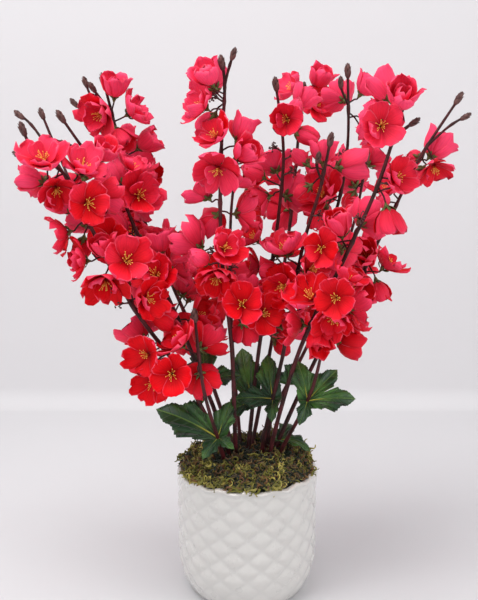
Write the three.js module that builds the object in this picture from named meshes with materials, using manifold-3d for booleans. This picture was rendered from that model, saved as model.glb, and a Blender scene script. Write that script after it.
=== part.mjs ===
// Blossom arrangement: tall sprigs of red-pink cherry blossom and lobed leaves that stand in moss,
// in a white pot with a quilted wall. Millimetres, +Z up. The origin is the middle of the pot's
// foot, and the front of the pot faces -Y.
import * as THREE from 'three';
import { mergeVertices } from 'three/addons/utils/BufferGeometryUtils.js';
import Module from 'manifold-3d';

const wasm = await Module();
wasm.setup();

// Pot: a glazed wall with raised diamonds, rounded in to its foot, and a scalloped lip.
const POT_HEIGHT = 130;
const POT_RADIUS = 68;
const FOOT_RADIUS = 55;
const FOOT_ROUNDING = 45;
const FOOT_BEVEL = 3;
const POT_WALL = 5;
const POT_FLOOR = 8;
const DIAMONDS_AROUND = 16;
const DIAMOND_HEIGHT = 22;
const DIAMOND_RELIEF = 2;
const LIP_RADIUS = 70;
const LIP_DEPTH = 3.5;
const LIP_ROUNDING = 2.5;
const SCALLOP = 1.2;

// Foam block that holds the stems, and the moss that covers it.
const FOAM_RADIUS = 61;
const FOAM_FOOT_RADIUS = 49;
const FOAM_TOP = 104;
const FOAM_SIDES = 16;
const MOSS_RADIUS = 61.5;
const MOSS_OVERHANG = 66;
const MOSS_EDGE_HEIGHT = 132.5;
const MOSS_DOME = 11;
const MOSS_LUMP = 1.6;

// Stems: each bush is moulded in one piece, from a stub in the foam to the buds at its tips.
const STUB_BOTTOM = 45;
const STUB_TOP = 104;
const STUB_RADIUS = 8.5;
const STUB_TAPER = 0.8;
const STUB_SIDES = 8;
const STEM_ROOT = 4;
const STEM_RADIUS = 2.4;
const TWIG_RADIUS = 1.3;
const FORK_RADIUS = 1.2;
const STEM_SIDES = 5;
const STEM_STEP = 66;
const FORK_SIDES = 4;
const FORK_STEPS = 2;
const BUD_LENGTH = 15;
const BUD_RADIUS = 3.1;
// Share of the bud's length, and share of its radius there.
const BUD_SHAPE = [[0.3, 1], [0.75, 0.7]];

// Blossoms: each cluster is one piece, 4 blossoms whose stalks spring from a spur on the stem.
const SPUR_RADIUS = 3;
const SPUR_LENGTH = 34;
const SPUR_CLEARANCE = 0.9;
const STALK_SPACING = 14;
const CLUSTER_BLOSSOMS = 4;
const STALK_SHORTEST = 12;
const STALK_LONGEST = 19;
// Longest stalk of a blossom that looks out, as a share of the longest stalk of the others.
const STALK_STRETCH = 1.4;
// Degrees: how far stalks lean from the way out of the stem, and how unevenly they stand around.
const LEAN_LEAST = 42;
const LEAN_MOST = 66;
const LEAN_TURN = 60;
const CALYX_RADIUS = 2.2;
const CALYX_DROP = 2.4;
const PETALS = 5;
const PETAL_THICKNESS = 1.4;
const BLOSSOM_SMALLEST = 18;
const BLOSSOM_LARGEST = 23.5;
const OPEN_CUP = 0.42;
const HALF_OPEN_CUP = 1.15;
const HALF_OPEN_WIDTH = 0.72;
const STALK_CLEARANCE = 2.5;
const CLOSED_WIDTH = 0.4;
const CLOSED_LENGTH = 0.95;
// Shares of the blossoms that are wide open, and that aren't closed, at a spray's foot and top.
const OPEN_SHARES = [0.68, 0.4];
const NOT_CLOSED_SHARES = [0.95, 0.72];
// Each form's clearance, and how far its middle lies above its base, as shares of its radius.
const BULK = { open: 0.78, half_open: 0.68, closed: 0.5 };
const MIDDLE_LIFT = { open: 0.24, half_open: 0.5, closed: 0.45 };
const GOLDEN_ANGLE = 137.5;
// How much the stalk, the light from above and its own sway turn a blossom.
const STALK_PULL = 0.25;
const LIFT_TO_LIGHT = 0.3;
const SWAY = 0.5;
const FIRST_SEED = 1;

// How crowded blossoms settle: the share of an overlap that each pass takes away.
const SETTLING_PASSES = 120;
const BLOSSOM_PUSH = 0.3;
const WOOD_PUSH = 0.4;
const STALK_PUSH = 0.8;
// The place along a stalk that keeps clear, the least share of a stalk that leads away from its
// stem and the push that restores it, and how far the blossoms that look out give way.
const WAIST_PLACE = 0.6;
const LEAST_OUTWARD = 0.3;
const OUTWARD_PUSH = 0.5;
const LOOKING_OUT_SHARE = 0.2;

// Leaves: each is one webbed blade with toothed arms, and the stem runs through its middle.
const LEAF_WEB = 9;
const LEAF_THICKNESS = 1.2;
const LEAF_ARCH = 0.16;
const LEAF_FOLD = 0.22;
// How much of the room up to the line midway between two arms their teeth fill at most.
const LEAF_ROOM = 0.85;
const WIDE_TURN = 80;

// Touching pieces keep this gap.
const GAP = 0.35;

const UP = new THREE.Vector3(0, 0, 1);
const BACK = new THREE.Vector3(0, 1, 0);
const FRONT_FACING = new THREE.Vector3(0, -0.95, 0.32);

// Where each bush's stub stands in the foam, as x and y.
const BUSHES = {
  left: [-19, -6],
  centre: [-3, 8],
  right: [21, 2],
};

// The sprays. Each one is a route from its bush's stub to the tip of its end bud, its forks, and
// its blossom clusters, which are spread evenly between two places on the route.
const SPRAYS = [
  {
    name: 'left_outer',
    bush: 'left',
    route: [[-25, -14, 148], [-58, -40, 231], [-105, -52, 304], [-141, -50, 376], [-164, -45, 424],
      [-193, -45, 450], [-204, -45, 474]],
    forks: [
      { at: 0.8, route: [[-197, -49, 441], [-211, -51, 447]] },
      { at: 0.71, route: [[-194, -28, 466], [-213, -24, 482]] },
      { at: 0.64, route: [[-174, -18, 440], [-193, -6, 484]] },
    ],
    clusters: { count: 6, from: 0.35, to: 0.75 },
  },
  {
    name: 'left_middle',
    bush: 'left',
    route: [[-19, -5, 147], [-54, -15, 251], [-81, -15, 318], [-104, -10, 365], [-124, 0, 410],
      [-150, -4, 441], [-177, -10, 482]],
    forks: [{ at: 0.86, route: [[-163, -8, 448], [-177, -10, 453]] }],
    clusters: { count: 5, from: 0.35, to: 0.8 },
  },
  {
    name: 'left_back',
    bush: 'left',
    route: [[-15, 10, 143], [-48, 34, 239], [-82, 52, 318], [-109, 55, 384], [-125, 45, 448],
      [-140, 36, 515]],
    forks: [
      { at: 0.91, route: [[-143, 35, 492], [-152, 32, 506]] },
      { at: 0.83, route: [[-150, 52, 486], [-160, 52, 511]] },
      { at: 0.76, route: [[-148, 64, 460], [-176, 66, 489]] },
    ],
    clusters: { count: 5, from: 0.4, to: 0.9 },
  },
  {
    name: 'front_left',
    bush: 'left',
    route: [[-23, -20, 144], [-41, -60, 228], [-50, -48, 304]],
    forks: [],
    clusters: { count: 1, from: 0.8, to: 0.8 },
  },
  {
    name: 'centre_left',
    bush: 'centre',
    route: [[-11, -10, 147], [-15, -32, 258], [-24, -40, 351], [-25, -38, 429], [-21, -35, 502],
      [-25, -35, 532]],
    forks: [{ at: 0.84, route: [[-17, -38, 520], [-11, -42, 538]] }],
    clusters: { count: 5, from: 0.4, to: 0.8 },
  },
  {
    name: 'centre',
    bush: 'centre',
    route: [[1, 0, 145], [10, 2, 238], [21, 8, 313], [30, 12, 381], [34, 14, 443], [25, 10, 512]],
    forks: [],
    clusters: { count: 4, from: 0.4, to: 0.9 },
  },
  {
    name: 'centre_back',
    bush: 'centre',
    route: [[5, 15, 144], [26, 60, 243], [45, 86, 364], [54, 92, 471], [58, 94, 505]],
    forks: [],
    clusters: { count: 3, from: 0.45, to: 0.85 },
  },
  {
    name: 'back_left',
    bush: 'centre',
    route: [[-7, 20, 146], [-16, 86, 247], [-17, 116, 360], [-7, 124, 443]],
    forks: [],
    clusters: { count: 2, from: 0.6, to: 0.9 },
  },
  {
    name: 'centre_right',
    bush: 'right',
    route: [[15, -5, 147], [35, -15, 253], [51, -22, 353], [67, -24, 412], [77, -22, 463]],
    forks: [{ at: 0.82, route: [[63, -28, 432], [65, -33, 446]] }],
    clusters: { count: 2, from: 0.55, to: 0.85 },
  },
  {
    name: 'right_inner',
    bush: 'right',
    route: [[19, 8, 140], [37, 15, 245], [70, 24, 332], [90, 28, 396], [97, 32, 451], [95, 32, 524]],
    forks: [{ at: 0.91, route: [[89, 28, 500], [88, 26, 512]] }],
    clusters: { count: 3, from: 0.45, to: 0.9 },
  },
  {
    name: 'right_front',
    bush: 'right',
    route: [[23, -12, 150], [49, -38, 260], [87, -55, 350], [115, -62, 419], [134, -60, 483],
      [143, -58, 509]],
    forks: [
      { at: 0.76, route: [[136, -66, 468], [149, -72, 478]] },
      { at: 0.84, route: [[139, -52, 492], [141, -47, 502]] },
    ],
    clusters: { count: 4, from: 0.4, to: 0.8 },
  },
  {
    name: 'right_outer',
    bush: 'right',
    route: [[28, 5, 143], [67, 14, 233], [106, 20, 308], [139, 24, 376], [165, 26, 432],
      [206, 30, 497]],
    forks: [{ at: 0.87, route: [[193, 22, 465], [213, 20, 477]] }],
    clusters: { count: 4, from: 0.4, to: 0.85 },
  },
  {
    name: 'back_right',
    bush: 'right',
    route: [[15, 18, 149], [72, 86, 247], [112, 116, 349], [128, 124, 434]],
    forks: [],
    clusters: { count: 2, from: 0.65, to: 0.9 },
  },
  {
    name: 'front_right',
    bush: 'right',
    route: [[33, -8, 146], [62, -46, 228], [76, -70, 330]],
    forks: [],
    clusters: { count: 1, from: 0.95, to: 0.95 },
  },
];

// Wide open blossoms that look straight out of the front: spray, place and radius.
const FRONT_BLOSSOMS = [
  { spray: 'right_front', place: [112, -84, 472], radius: 20 },
  { spray: 'left_middle', place: [-92, -42, 388], radius: 21 },
  { spray: 'left_outer', place: [-114, -78, 352], radius: 22 },
  { spray: 'left_outer', place: [-70, -66, 243], radius: 20 },
  { spray: 'front_left', place: [-30, -94, 258], radius: 20 },
  { spray: 'centre_left', place: [-42, -58, 300], radius: 20 },
  { spray: 'centre_left', place: [-4, -60, 306], radius: 20 },
  { spray: 'front_right', place: [66, -92, 322], radius: 19 },
  { spray: 'right_front', place: [86, -80, 356], radius: 18 },
  { spray: 'centre', place: [25, -12, 472], radius: 17 },
  { spray: 'right_inner', place: [94, 4, 448], radius: 18 },
];

// The leaves: spray, place along its route, the way the upper face looks, and for each arm its turn
// round that way from +X, its rise towards it, and its length.
const LEAVES = [
  { spray: 'front_left', at: 0.45, facing: [0, -0.8, 0.6],
    arms: [[156, 6, 66], [70, 10, 38], [237, 8, 27], [323, 8, 20]] },
  { spray: 'left_middle', at: 0.24, facing: [0, -0.66, 0.75],
    arms: [[174, 8, 44], [92, 2, 44], [10, 6, 38], [262, 4, 26]] },
  { spray: 'centre_right', at: 0.31, facing: [-0.1, -0.86, 0.5],
    arms: [[180, 6, 38], [96, 8, 44], [268, 6, 24]] },
  { spray: 'front_right', at: 0.6, facing: [0.08, -0.84, 0.54],
    arms: [[2, 6, 46], [46, 8, 42], [104, 6, 40], [250, 6, 26]] },
  { spray: 'centre', at: 0.26, facing: [-0.2, -0.8, 0.56],
    arms: [[100, 6, 56], [205, 8, 34]] },
  { spray: 'right_outer', at: 0.19, facing: [0.3, -0.3, 0.9],
    arms: [[-24, 10, 34], [64, 10, 28]] },
  { spray: 'back_right', at: 0.38, facing: [0.1, 0.6, 0.79],
    arms: [[40, 10, 50], [120, 10, 48], [-70, 10, 42]] },
];

// Half of an arm's outline from its root to its tip, as shares of the arm's length: how far along,
// and how far out to the side. Blunt teeth and the notches between them take turns.
const LEAF_TEETH = [[0.28, 0.22], [0.54, 0.29], [0.82, 0.15]];
const LEAF_NOTCHES = [[0.41, 0.19], [0.69, 0.17]];

const COLOURS = {
  pot: { color: 0xe9e7e3, roughness: 0.22, metalness: 0 },
  foam: { color: 0x4f5b38, roughness: 0.95, metalness: 0 },
  moss: { color: 0x5c5a1e, roughness: 1, metalness: 0 },
  stem: { color: 0x3a1418, roughness: 0.6, metalness: 0 },
  leaf: { color: 0x1d4a22, roughness: 0.55, metalness: 0 },
  blossom: { color: 0xd81f45, roughness: 0.7, metalness: 0 },
};

const radians = (degrees) => THREE.MathUtils.degToRad(degrees);
const between = (low, high, share) => low + (high - low) * share;

const sprigs = new THREE.Group();

// ---- Solids and meshes ----

function solidOf(points, faces) {
  return new wasm.Manifold(new wasm.Mesh({
    numProp: 3,
    vertProperties: new Float32Array(points.flatMap((point) => [point.x, point.y, point.z])),
    triVerts: new Uint32Array(faces.flat()),
  }));
}

function solidFromGeometry(geometry) {
  geometry.deleteAttribute('normal');
  geometry.deleteAttribute('uv');
  const merged = mergeVertices(geometry);
  return new wasm.Manifold(new wasm.Mesh({
    numProp: 3,
    vertProperties: new Float32Array(merged.attributes.position.array),
    triVerts: new Uint32Array(merged.index.array),
  }));
}

// The largest body alone: loose scraps go, and hollows that joining has sealed are filled.
function mainPiece(solid) {
  const pieces = solid.decompose();
  pieces.sort((one, other) => other.volume() - one.volume());
  return pieces[0];
}

function addSubpart(name, solid, colour) {
  const { vertProperties, triVerts } = solid.getMesh();
  const geometry = new THREE.BufferGeometry();
  geometry.setAttribute('position', new THREE.BufferAttribute(new Float32Array(vertProperties), 3));
  geometry.setIndex(new THREE.BufferAttribute(new Uint32Array(triVerts), 1));
  geometry.computeVertexNormals();
  const mesh = new THREE.Mesh(geometry, new THREE.MeshStandardMaterial(COLOURS[colour]));
  mesh.name = name;
  sprigs.add(mesh);
}

// A body of stacked rings about the Z axis, closed by a point at each end. Each ring is a function
// from its column to a radius and a height.
function ringBody(columns, rings, bottom, top) {
  const points = rings.flatMap((ring) => Array.from({ length: columns }, (_, column) => {
    const angle = (2 * Math.PI * column) / columns;
    const [radius, height] = ring(column, angle);
    return new THREE.Vector3(radius * Math.cos(angle), radius * Math.sin(angle), height);
  }));
  const faces = [];
  for (let row = 0; row + 1 < rings.length; row += 1) {
    for (let column = 0; column < columns; column += 1) {
      const next = (column + 1) % columns;
      const [a, b] = [row * columns + column, row * columns + next];
      const [c, d] = [a + columns, b + columns];
      // The diagonals take turns, so that they run along the grooves between the diamonds.
      const flip = (row + column) % 2 === 0;
      faces.push(...(flip ? [[a, b, d], [a, d, c]] : [[a, b, c], [b, d, c]]));
    }
  }
  const last = (rings.length - 1) * columns;
  const ends = points.length;
  points.push(new THREE.Vector3(0, 0, bottom), new THREE.Vector3(0, 0, top));
  for (let column = 0; column < columns; column += 1) {
    const next = (column + 1) % columns;
    faces.push([ends, next, column], [ends + 1, last + column, last + next]);
  }
  return solidOf(points, faces);
}

// ---- Pot ----

const POT_COLUMNS = 2 * DIAMONDS_AROUND;
const RELIEF_ROWS = 11;
const RELIEF_START = 13;

// Radius of the wall without its relief.
function wallRadius(height) {
  const below = Math.max(0, 1 - height / FOOT_ROUNDING);
  return POT_RADIUS - (POT_RADIUS - FOOT_RADIUS) * below ** 2.5;
}

function potSolid() {
  const rings = [];
  const plain = (radius, height) => rings.push(() => [radius, height]);
  const scalloped = (radius, height) => {
    rings.push((column) => [radius, height + (column % 2 ? -SCALLOP : SCALLOP)]);
  };
  plain(FOOT_RADIUS - FOOT_BEVEL, 0);
  plain(FOOT_RADIUS, FOOT_BEVEL / 2);
  for (let row = 0; row < RELIEF_ROWS; row += 1) {
    const height = RELIEF_START + (row * DIAMOND_HEIGHT) / 2;
    const fade = Math.min(1, height / FOOT_ROUNDING);
    rings.push((column) => {
      const raised = (row + column) % 2 === 1;
      return [wallRadius(height) + (raised ? DIAMOND_RELIEF * fade : 0), height];
    });
  }
  scalloped(LIP_RADIUS, POT_HEIGHT - LIP_DEPTH);
  scalloped(LIP_RADIUS - LIP_ROUNDING, POT_HEIGHT - SCALLOP);
  scalloped(POT_RADIUS - POT_WALL, POT_HEIGHT - LIP_DEPTH);
  plain(POT_RADIUS - POT_WALL, FOOT_ROUNDING);
  plain(wallRadius(FOOT_ROUNDING / 3) - POT_WALL, FOOT_ROUNDING / 3);
  plain(wallRadius(POT_FLOOR) - POT_WALL - 1, POT_FLOOR);
  return ringBody(POT_COLUMNS, rings, 0, POT_FLOOR);
}

// ---- Foam and moss ----

function foamSolid() {
  const outline = [[0, POT_FLOOR + GAP], [FOAM_FOOT_RADIUS, POT_FLOOR + GAP],
    [FOAM_RADIUS, FOOT_ROUNDING], [FOAM_RADIUS, FOAM_TOP], [0, FOAM_TOP]];
  const profile = outline.map(([radius, height]) => new THREE.Vector2(radius, height));
  const block = new THREE.LatheGeometry(profile, FOAM_SIDES);
  block.rotateX(Math.PI / 2);
  return solidFromGeometry(block);
}

const MOSS_COLUMNS = 20;
const MOSS_RINGS = [0.92, 0.7, 0.44, 0.2];
const MOSS_MOUNDS = [
  { x: 36, y: 34, rise: 11, spread: 24 },
  { x: -36, y: 26, rise: 5, spread: 22 },
];

function mossHeight(radius, angle) {
  const x = radius * Math.cos(angle);
  const y = radius * Math.sin(angle);
  const inward = 1 - (radius / MOSS_OVERHANG) ** 3;
  const mounds = MOSS_MOUNDS.map((mound) => {
    const away = Math.hypot(x - mound.x, y - mound.y) / mound.spread;
    return mound.rise * Math.exp(-away * away);
  });
  const lumps = Math.sin(0.31 * x + 1.2) * Math.cos(0.27 * y) + Math.sin(0.19 * (x - y) + 0.4);
  const rise = mounds.reduce((sum, mound) => sum + mound, MOSS_DOME * inward);
  return MOSS_EDGE_HEIGHT + rise + MOSS_LUMP * lumps * Math.min(1, 2 * inward + 0.25);
}

function mossSolid() {
  const rings = [
    () => [MOSS_RADIUS - 1, FOAM_TOP + GAP],
    () => [MOSS_RADIUS, POT_HEIGHT + GAP],
    (column, angle) => [MOSS_OVERHANG + 1.5 * Math.sin(7 * angle), POT_HEIGHT + SCALLOP + 0.8],
  ];
  for (const share of MOSS_RINGS) {
    const radius = MOSS_OVERHANG * share;
    rings.push((column, angle) => [radius, mossHeight(radius, angle)]);
  }
  return ringBody(MOSS_COLUMNS, rings, FOAM_TOP + GAP, mossHeight(0, 0));
}

// ---- Stems ----

const vectors = (route) => route.map(([x, y, z]) => new THREE.Vector3(x, y, z));
const curveThrough = (points) => new THREE.CatmullRomCurve3(points, false, 'catmullrom', 0.5);

for (const spray of SPRAYS) {
  const [x, y] = BUSHES[spray.bush];
  spray.curve = curveThrough([new THREE.Vector3(x, y, STUB_TOP - STEM_ROOT), ...vectors(spray.route)]);
  for (const fork of spray.forks) {
    fork.curve = curveThrough([spray.curve.getPoint(fork.at), ...vectors(fork.route)]);
  }
}

const stemRadiusAt = (place) => between(STEM_RADIUS, TWIG_RADIUS, place);

// Two directions across a curve at one place: the first lies level.
function crossDirections(curve, place) {
  const tangent = curve.getTangent(place);
  const side = new THREE.Vector3().crossVectors(tangent, BACK).normalize();
  const out = new THREE.Vector3().crossVectors(side, tangent).normalize();
  return { tangent, side, out };
}

// A round stem along a curve that swells into a pointed bud at its end. Its straight lengths meet
// on the curve at even steps and wherever something joins it.
function stemSolid(curve, radiusAt, sides, steps, joints, grow) {
  const budStart = curve.getUtoTmapping(1 - BUD_LENGTH / curve.getLength());
  const evenPlaces = Array.from({ length: steps + 1 }, (_, step) => (budStart * step) / steps);
  const places = [...evenPlaces, ...joints].sort((one, other) => one - other);
  const sections = places.map((place) => [place, radiusAt(place)]);
  for (const [share, radius] of BUD_SHAPE) {
    sections.push([between(budStart, 1, share), radius * BUD_RADIUS]);
  }
  const points = sections.flatMap(([place, radius]) => {
    const centre = curve.getPoint(place);
    const { side, out } = crossDirections(curve, place);
    return Array.from({ length: sides }, (_, corner) => {
      const angle = (2 * Math.PI * corner) / sides;
      return centre.clone()
        .addScaledVector(side, (radius + grow) * Math.cos(angle))
        .addScaledVector(out, (radius + grow) * Math.sin(angle));
    });
  });
  const faces = [];
  for (let section = 0; section + 1 < sections.length; section += 1) {
    for (let corner = 0; corner < sides; corner += 1) {
      const [a, b] = [section * sides + corner, section * sides + (corner + 1) % sides];
      faces.push([a, a + sides, b], [b, a + sides, b + sides]);
    }
  }
  const foot = points.length;
  const tip = curve.getPoint(1).addScaledVector(curve.getTangent(1), grow);
  points.push(curve.getPoint(0), tip);
  const last = (sections.length - 1) * sides;
  for (let corner = 0; corner < sides; corner += 1) {
    const next = (corner + 1) % sides;
    faces.push([foot, corner, next], [foot + 1, last + next, last + corner]);
  }
  return solidOf(points, faces);
}

function stubSolid([x, y], grow) {
  const stub = new THREE.CylinderGeometry(
    STUB_RADIUS + grow,
    STUB_RADIUS * STUB_TAPER + grow,
    STUB_TOP - STUB_BOTTOM + 2 * grow,
    STUB_SIDES,
  );
  stub.rotateX(Math.PI / 2);
  stub.translate(x, y, (STUB_TOP + STUB_BOTTOM) / 2);
  return solidFromGeometry(stub);
}

function bushSolid(bush, grow = 0) {
  let solid = stubSolid(BUSHES[bush], grow);
  for (const spray of SPRAYS.filter((one) => one.bush === bush)) {
    const steps = Math.round(spray.curve.getLength() / STEM_STEP);
    const leaves = LEAVES.filter((leaf) => leaf.spray === spray.name);
    const joints = [...spray.forks, ...leaves].map(({ at }) => at);
    solid = solid.add(stemSolid(spray.curve, stemRadiusAt, STEM_SIDES, steps, joints, grow));
    for (const fork of spray.forks) {
      solid = solid.add(stemSolid(fork.curve, () => FORK_RADIUS, FORK_SIDES, FORK_STEPS, [], grow));
    }
  }
  return solid;
}

// ---- Blossoms ----

// Repeatable random numbers from 0 to 1.
function makeRandom(seed) {
  let state = seed >>> 0;
  return () => {
    state = (state + 0x6d2b79f5) >>> 0;
    let mixed = Math.imul(state ^ (state >>> 15), state | 1);
    mixed = (mixed + Math.imul(mixed ^ (mixed >>> 7), mixed | 61)) ^ mixed;
    return ((mixed ^ (mixed >>> 14)) >>> 0) / 2 ** 32;
  };
}

// Every cluster has its spur beside the stem, and its blossoms stand out from it to all sides.
function plantClusters() {
  const clusters = [];
  for (const spray of SPRAYS) {
    const { count, from, to } = spray.clusters;
    for (let index = 0; index < count; index += 1) {
      const height = count > 1 ? index / (count - 1) : 0;
      const place = between(from, to, height);
      const { tangent, side, out } = crossDirections(spray.curve, place);
      const turn = radians(GOLDEN_ANGLE * clusters.length);
      const away = side.clone().multiplyScalar(Math.cos(turn)).addScaledVector(out, Math.sin(turn));
      const across = new THREE.Vector3().crossVectors(away, tangent);
      const spur = spray.curve.getPoint(place)
        .addScaledVector(away, stemRadiusAt(place) + SPUR_CLEARANCE + SPUR_RADIUS);
      const random = makeRandom(FIRST_SEED + clusters.length);
      const blossoms = Array.from({ length: CLUSTER_BLOSSOMS }, (_, number) => {
        const root = spur.clone()
          .addScaledVector(tangent, STALK_SPACING * (number / (CLUSTER_BLOSSOMS - 1) - 0.5));
        const around = radians(GOLDEN_ANGLE * number + LEAN_TURN * random());
        const tilt = radians(between(LEAN_LEAST, LEAN_MOST, random()));
        const direction = away.clone().multiplyScalar(Math.cos(tilt))
          .addScaledVector(tangent, Math.sin(tilt) * Math.cos(around))
          .addScaledVector(across, Math.sin(tilt) * Math.sin(around));
        const stalk = between(STALK_SHORTEST, STALK_LONGEST, random());
        const radius = between(BLOSSOM_SMALLEST, BLOSSOM_LARGEST, random());
        const opening = random();
        const roll = radians((360 / PETALS) * random());
        const sway = new THREE.Vector3(random() - 0.5, random() - 0.5, random() - 0.5);
        let form = opening < between(...OPEN_SHARES, height) ? 'open' : 'half_open';
        if (opening > between(...NOT_CLOSED_SHARES, height)) form = 'closed';
        return { root, direction, stalk, radius, roll, sway, form, looksOut: false };
      });
      const name = `blossoms_${spray.name}_${index + 1}`;
      clusters.push({ name, spray, spur, tangent, away, blossoms });
    }
  }
  return clusters;
}

// The nearest spur on the spray gives one of its blossoms to each blossom that looks out.
function placeFrontBlossoms(clusters) {
  for (const { spray, place, radius } of FRONT_BLOSSOMS) {
    const target = new THREE.Vector3(...place);
    const near = clusters.filter((cluster) => cluster.spray.name === spray);
    near.sort((one, other) => one.spur.distanceTo(target) - other.spur.distanceTo(target));
    const free = near[0].blossoms.filter((blossom) => !blossom.looksOut);
    const toTarget = target.clone().sub(near[0].spur);
    free.sort((one, other) => other.direction.dot(toTarget) - one.direction.dot(toTarget));
    const reach = target.clone().sub(free[0].root);
    Object.assign(free[0], {
      direction: reach.clone().normalize(),
      stalk: THREE.MathUtils.clamp(reach.length(), STALK_SHORTEST, STALK_STRETCH * STALK_LONGEST),
      radius,
      form: 'open',
      looksOut: true,
    });
  }
}

// A blossom faces along its stalk, a little upwards, with some sway of its own.
function faceBlossom(blossom) {
  const facing = blossom.looksOut
    ? blossom.direction.clone().multiplyScalar(STALK_PULL).add(FRONT_FACING)
    : blossom.direction.clone().addScaledVector(UP, LIFT_TO_LIGHT);
  blossom.facing = facing.addScaledVector(blossom.sway, SWAY).normalize();
  blossom.base = blossom.root.clone().addScaledVector(blossom.direction, blossom.stalk);
  blossom.bulk = BULK[blossom.form] * blossom.radius;
  blossom.middle = blossom.base.clone()
    .addScaledVector(blossom.facing, MIDDLE_LIFT[blossom.form] * blossom.radius);
  blossom.waist = blossom.root.clone().lerp(blossom.base, WAIST_PLACE);
}

function woodSegments() {
  const segments = [];
  const addCurve = (curve, radiusAt, steps) => {
    for (let step = 0; step < steps; step += 1) {
      const start = curve.getPoint(step / steps);
      const end = curve.getPoint((step + 1) / steps);
      segments.push({ line: new THREE.Line3(start, end), radius: radiusAt((step + 0.5) / steps) });
    }
  };
  for (const spray of SPRAYS) {
    addCurve(spray.curve, stemRadiusAt, 12);
    for (const fork of spray.forks) addCurve(fork.curve, () => BUD_RADIUS, 2);
  }
  return segments;
}

// Round clearances where the leaves' arms spread.
function leafClearances() {
  return LEAVES.flatMap((leaf) => {
    const { curve } = SPRAYS.find((one) => one.name === leaf.spray);
    return leaf.arms.flatMap(([turn, rise, length]) => [0.45, 0.85].map((share) => {
      const { along } = armDirections(new THREE.Vector3(...leaf.facing).normalize(), turn, rise);
      const middle = curve.getPoint(leaf.at).addScaledVector(along, share * length);
      return { line: new THREE.Line3(middle, middle.clone()), radius: 0.24 * length };
    }));
  });
}

// Blossoms and stalks that crowd each other, a stem or a leaf swing apart about the stalks' roots.
function settle(clusters) {
  const segments = [...woodSegments(), ...leafClearances()];
  const all = clusters.flatMap((cluster) => cluster.blossoms.map((blossom) => ({ cluster, blossom })));
  const nearest = new THREE.Vector3();
  const apart = new THREE.Vector3();
  const pushOf = (here, there, clearance, strength) => {
    const overlap = clearance - apart.subVectors(here, there).length();
    return overlap > 0 ? apart.setLength(strength * overlap) : apart.set(0, 0, 0);
  };
  all.forEach(({ blossom }) => faceBlossom(blossom));
  for (let pass = 0; pass < SETTLING_PASSES; pass += 1) {
    const pushes = all.map(() => new THREE.Vector3());
    for (let one = 0; one < all.length; one += 1) {
      const { cluster, blossom } = all[one];
      for (let other = one + 1; other < all.length; other += 1) {
        const rival = all[other].blossom;
        pushOf(blossom.middle, rival.middle, blossom.bulk + rival.bulk, BLOSSOM_PUSH);
        pushes[one].add(apart);
        pushes[other].sub(apart);
        if (all[other].cluster !== cluster) {
          pushOf(blossom.waist, rival.middle, STALK_CLEARANCE + rival.bulk, BLOSSOM_PUSH);
          pushes[one].add(apart);
          pushes[other].sub(apart);
          pushOf(blossom.middle, rival.waist, STALK_CLEARANCE + blossom.bulk, BLOSSOM_PUSH);
          pushes[one].add(apart);
          pushes[other].sub(apart);
        }
      }
      for (const { line, radius } of segments) {
        line.closestPointToPoint(blossom.middle, true, nearest);
        pushes[one].add(pushOf(blossom.middle, nearest, blossom.bulk + radius, WOOD_PUSH));
        line.closestPointToPoint(blossom.waist, true, nearest);
        pushes[one].add(pushOf(blossom.waist, nearest, STALK_CLEARANCE + radius, STALK_PUSH));
      }
      apart.subVectors(blossom.base, blossom.root);
      const shortfall = LEAST_OUTWARD * blossom.stalk - apart.dot(cluster.away);
      if (shortfall > 0) pushes[one].addScaledVector(cluster.away, OUTWARD_PUSH * shortfall);
    }
    all.forEach(({ blossom }, number) => {
      const share = blossom.looksOut ? LOOKING_OUT_SHARE : 1;
      blossom.base.addScaledVector(pushes[number], share);
      blossom.direction.subVectors(blossom.base, blossom.root).normalize();
      faceBlossom(blossom);
    });
  }
}

// Two directions across the way that a blossom faces, turned by its roll.
function blossomFrame(blossom) {
  const side = new THREE.Vector3().crossVectors(blossom.facing, new THREE.Vector3(0.31, 0.17, 0.93));
  side.normalize().applyAxisAngle(blossom.facing, blossom.roll);
  const other = new THREE.Vector3().crossVectors(blossom.facing, side);
  return { side, other };
}

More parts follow.
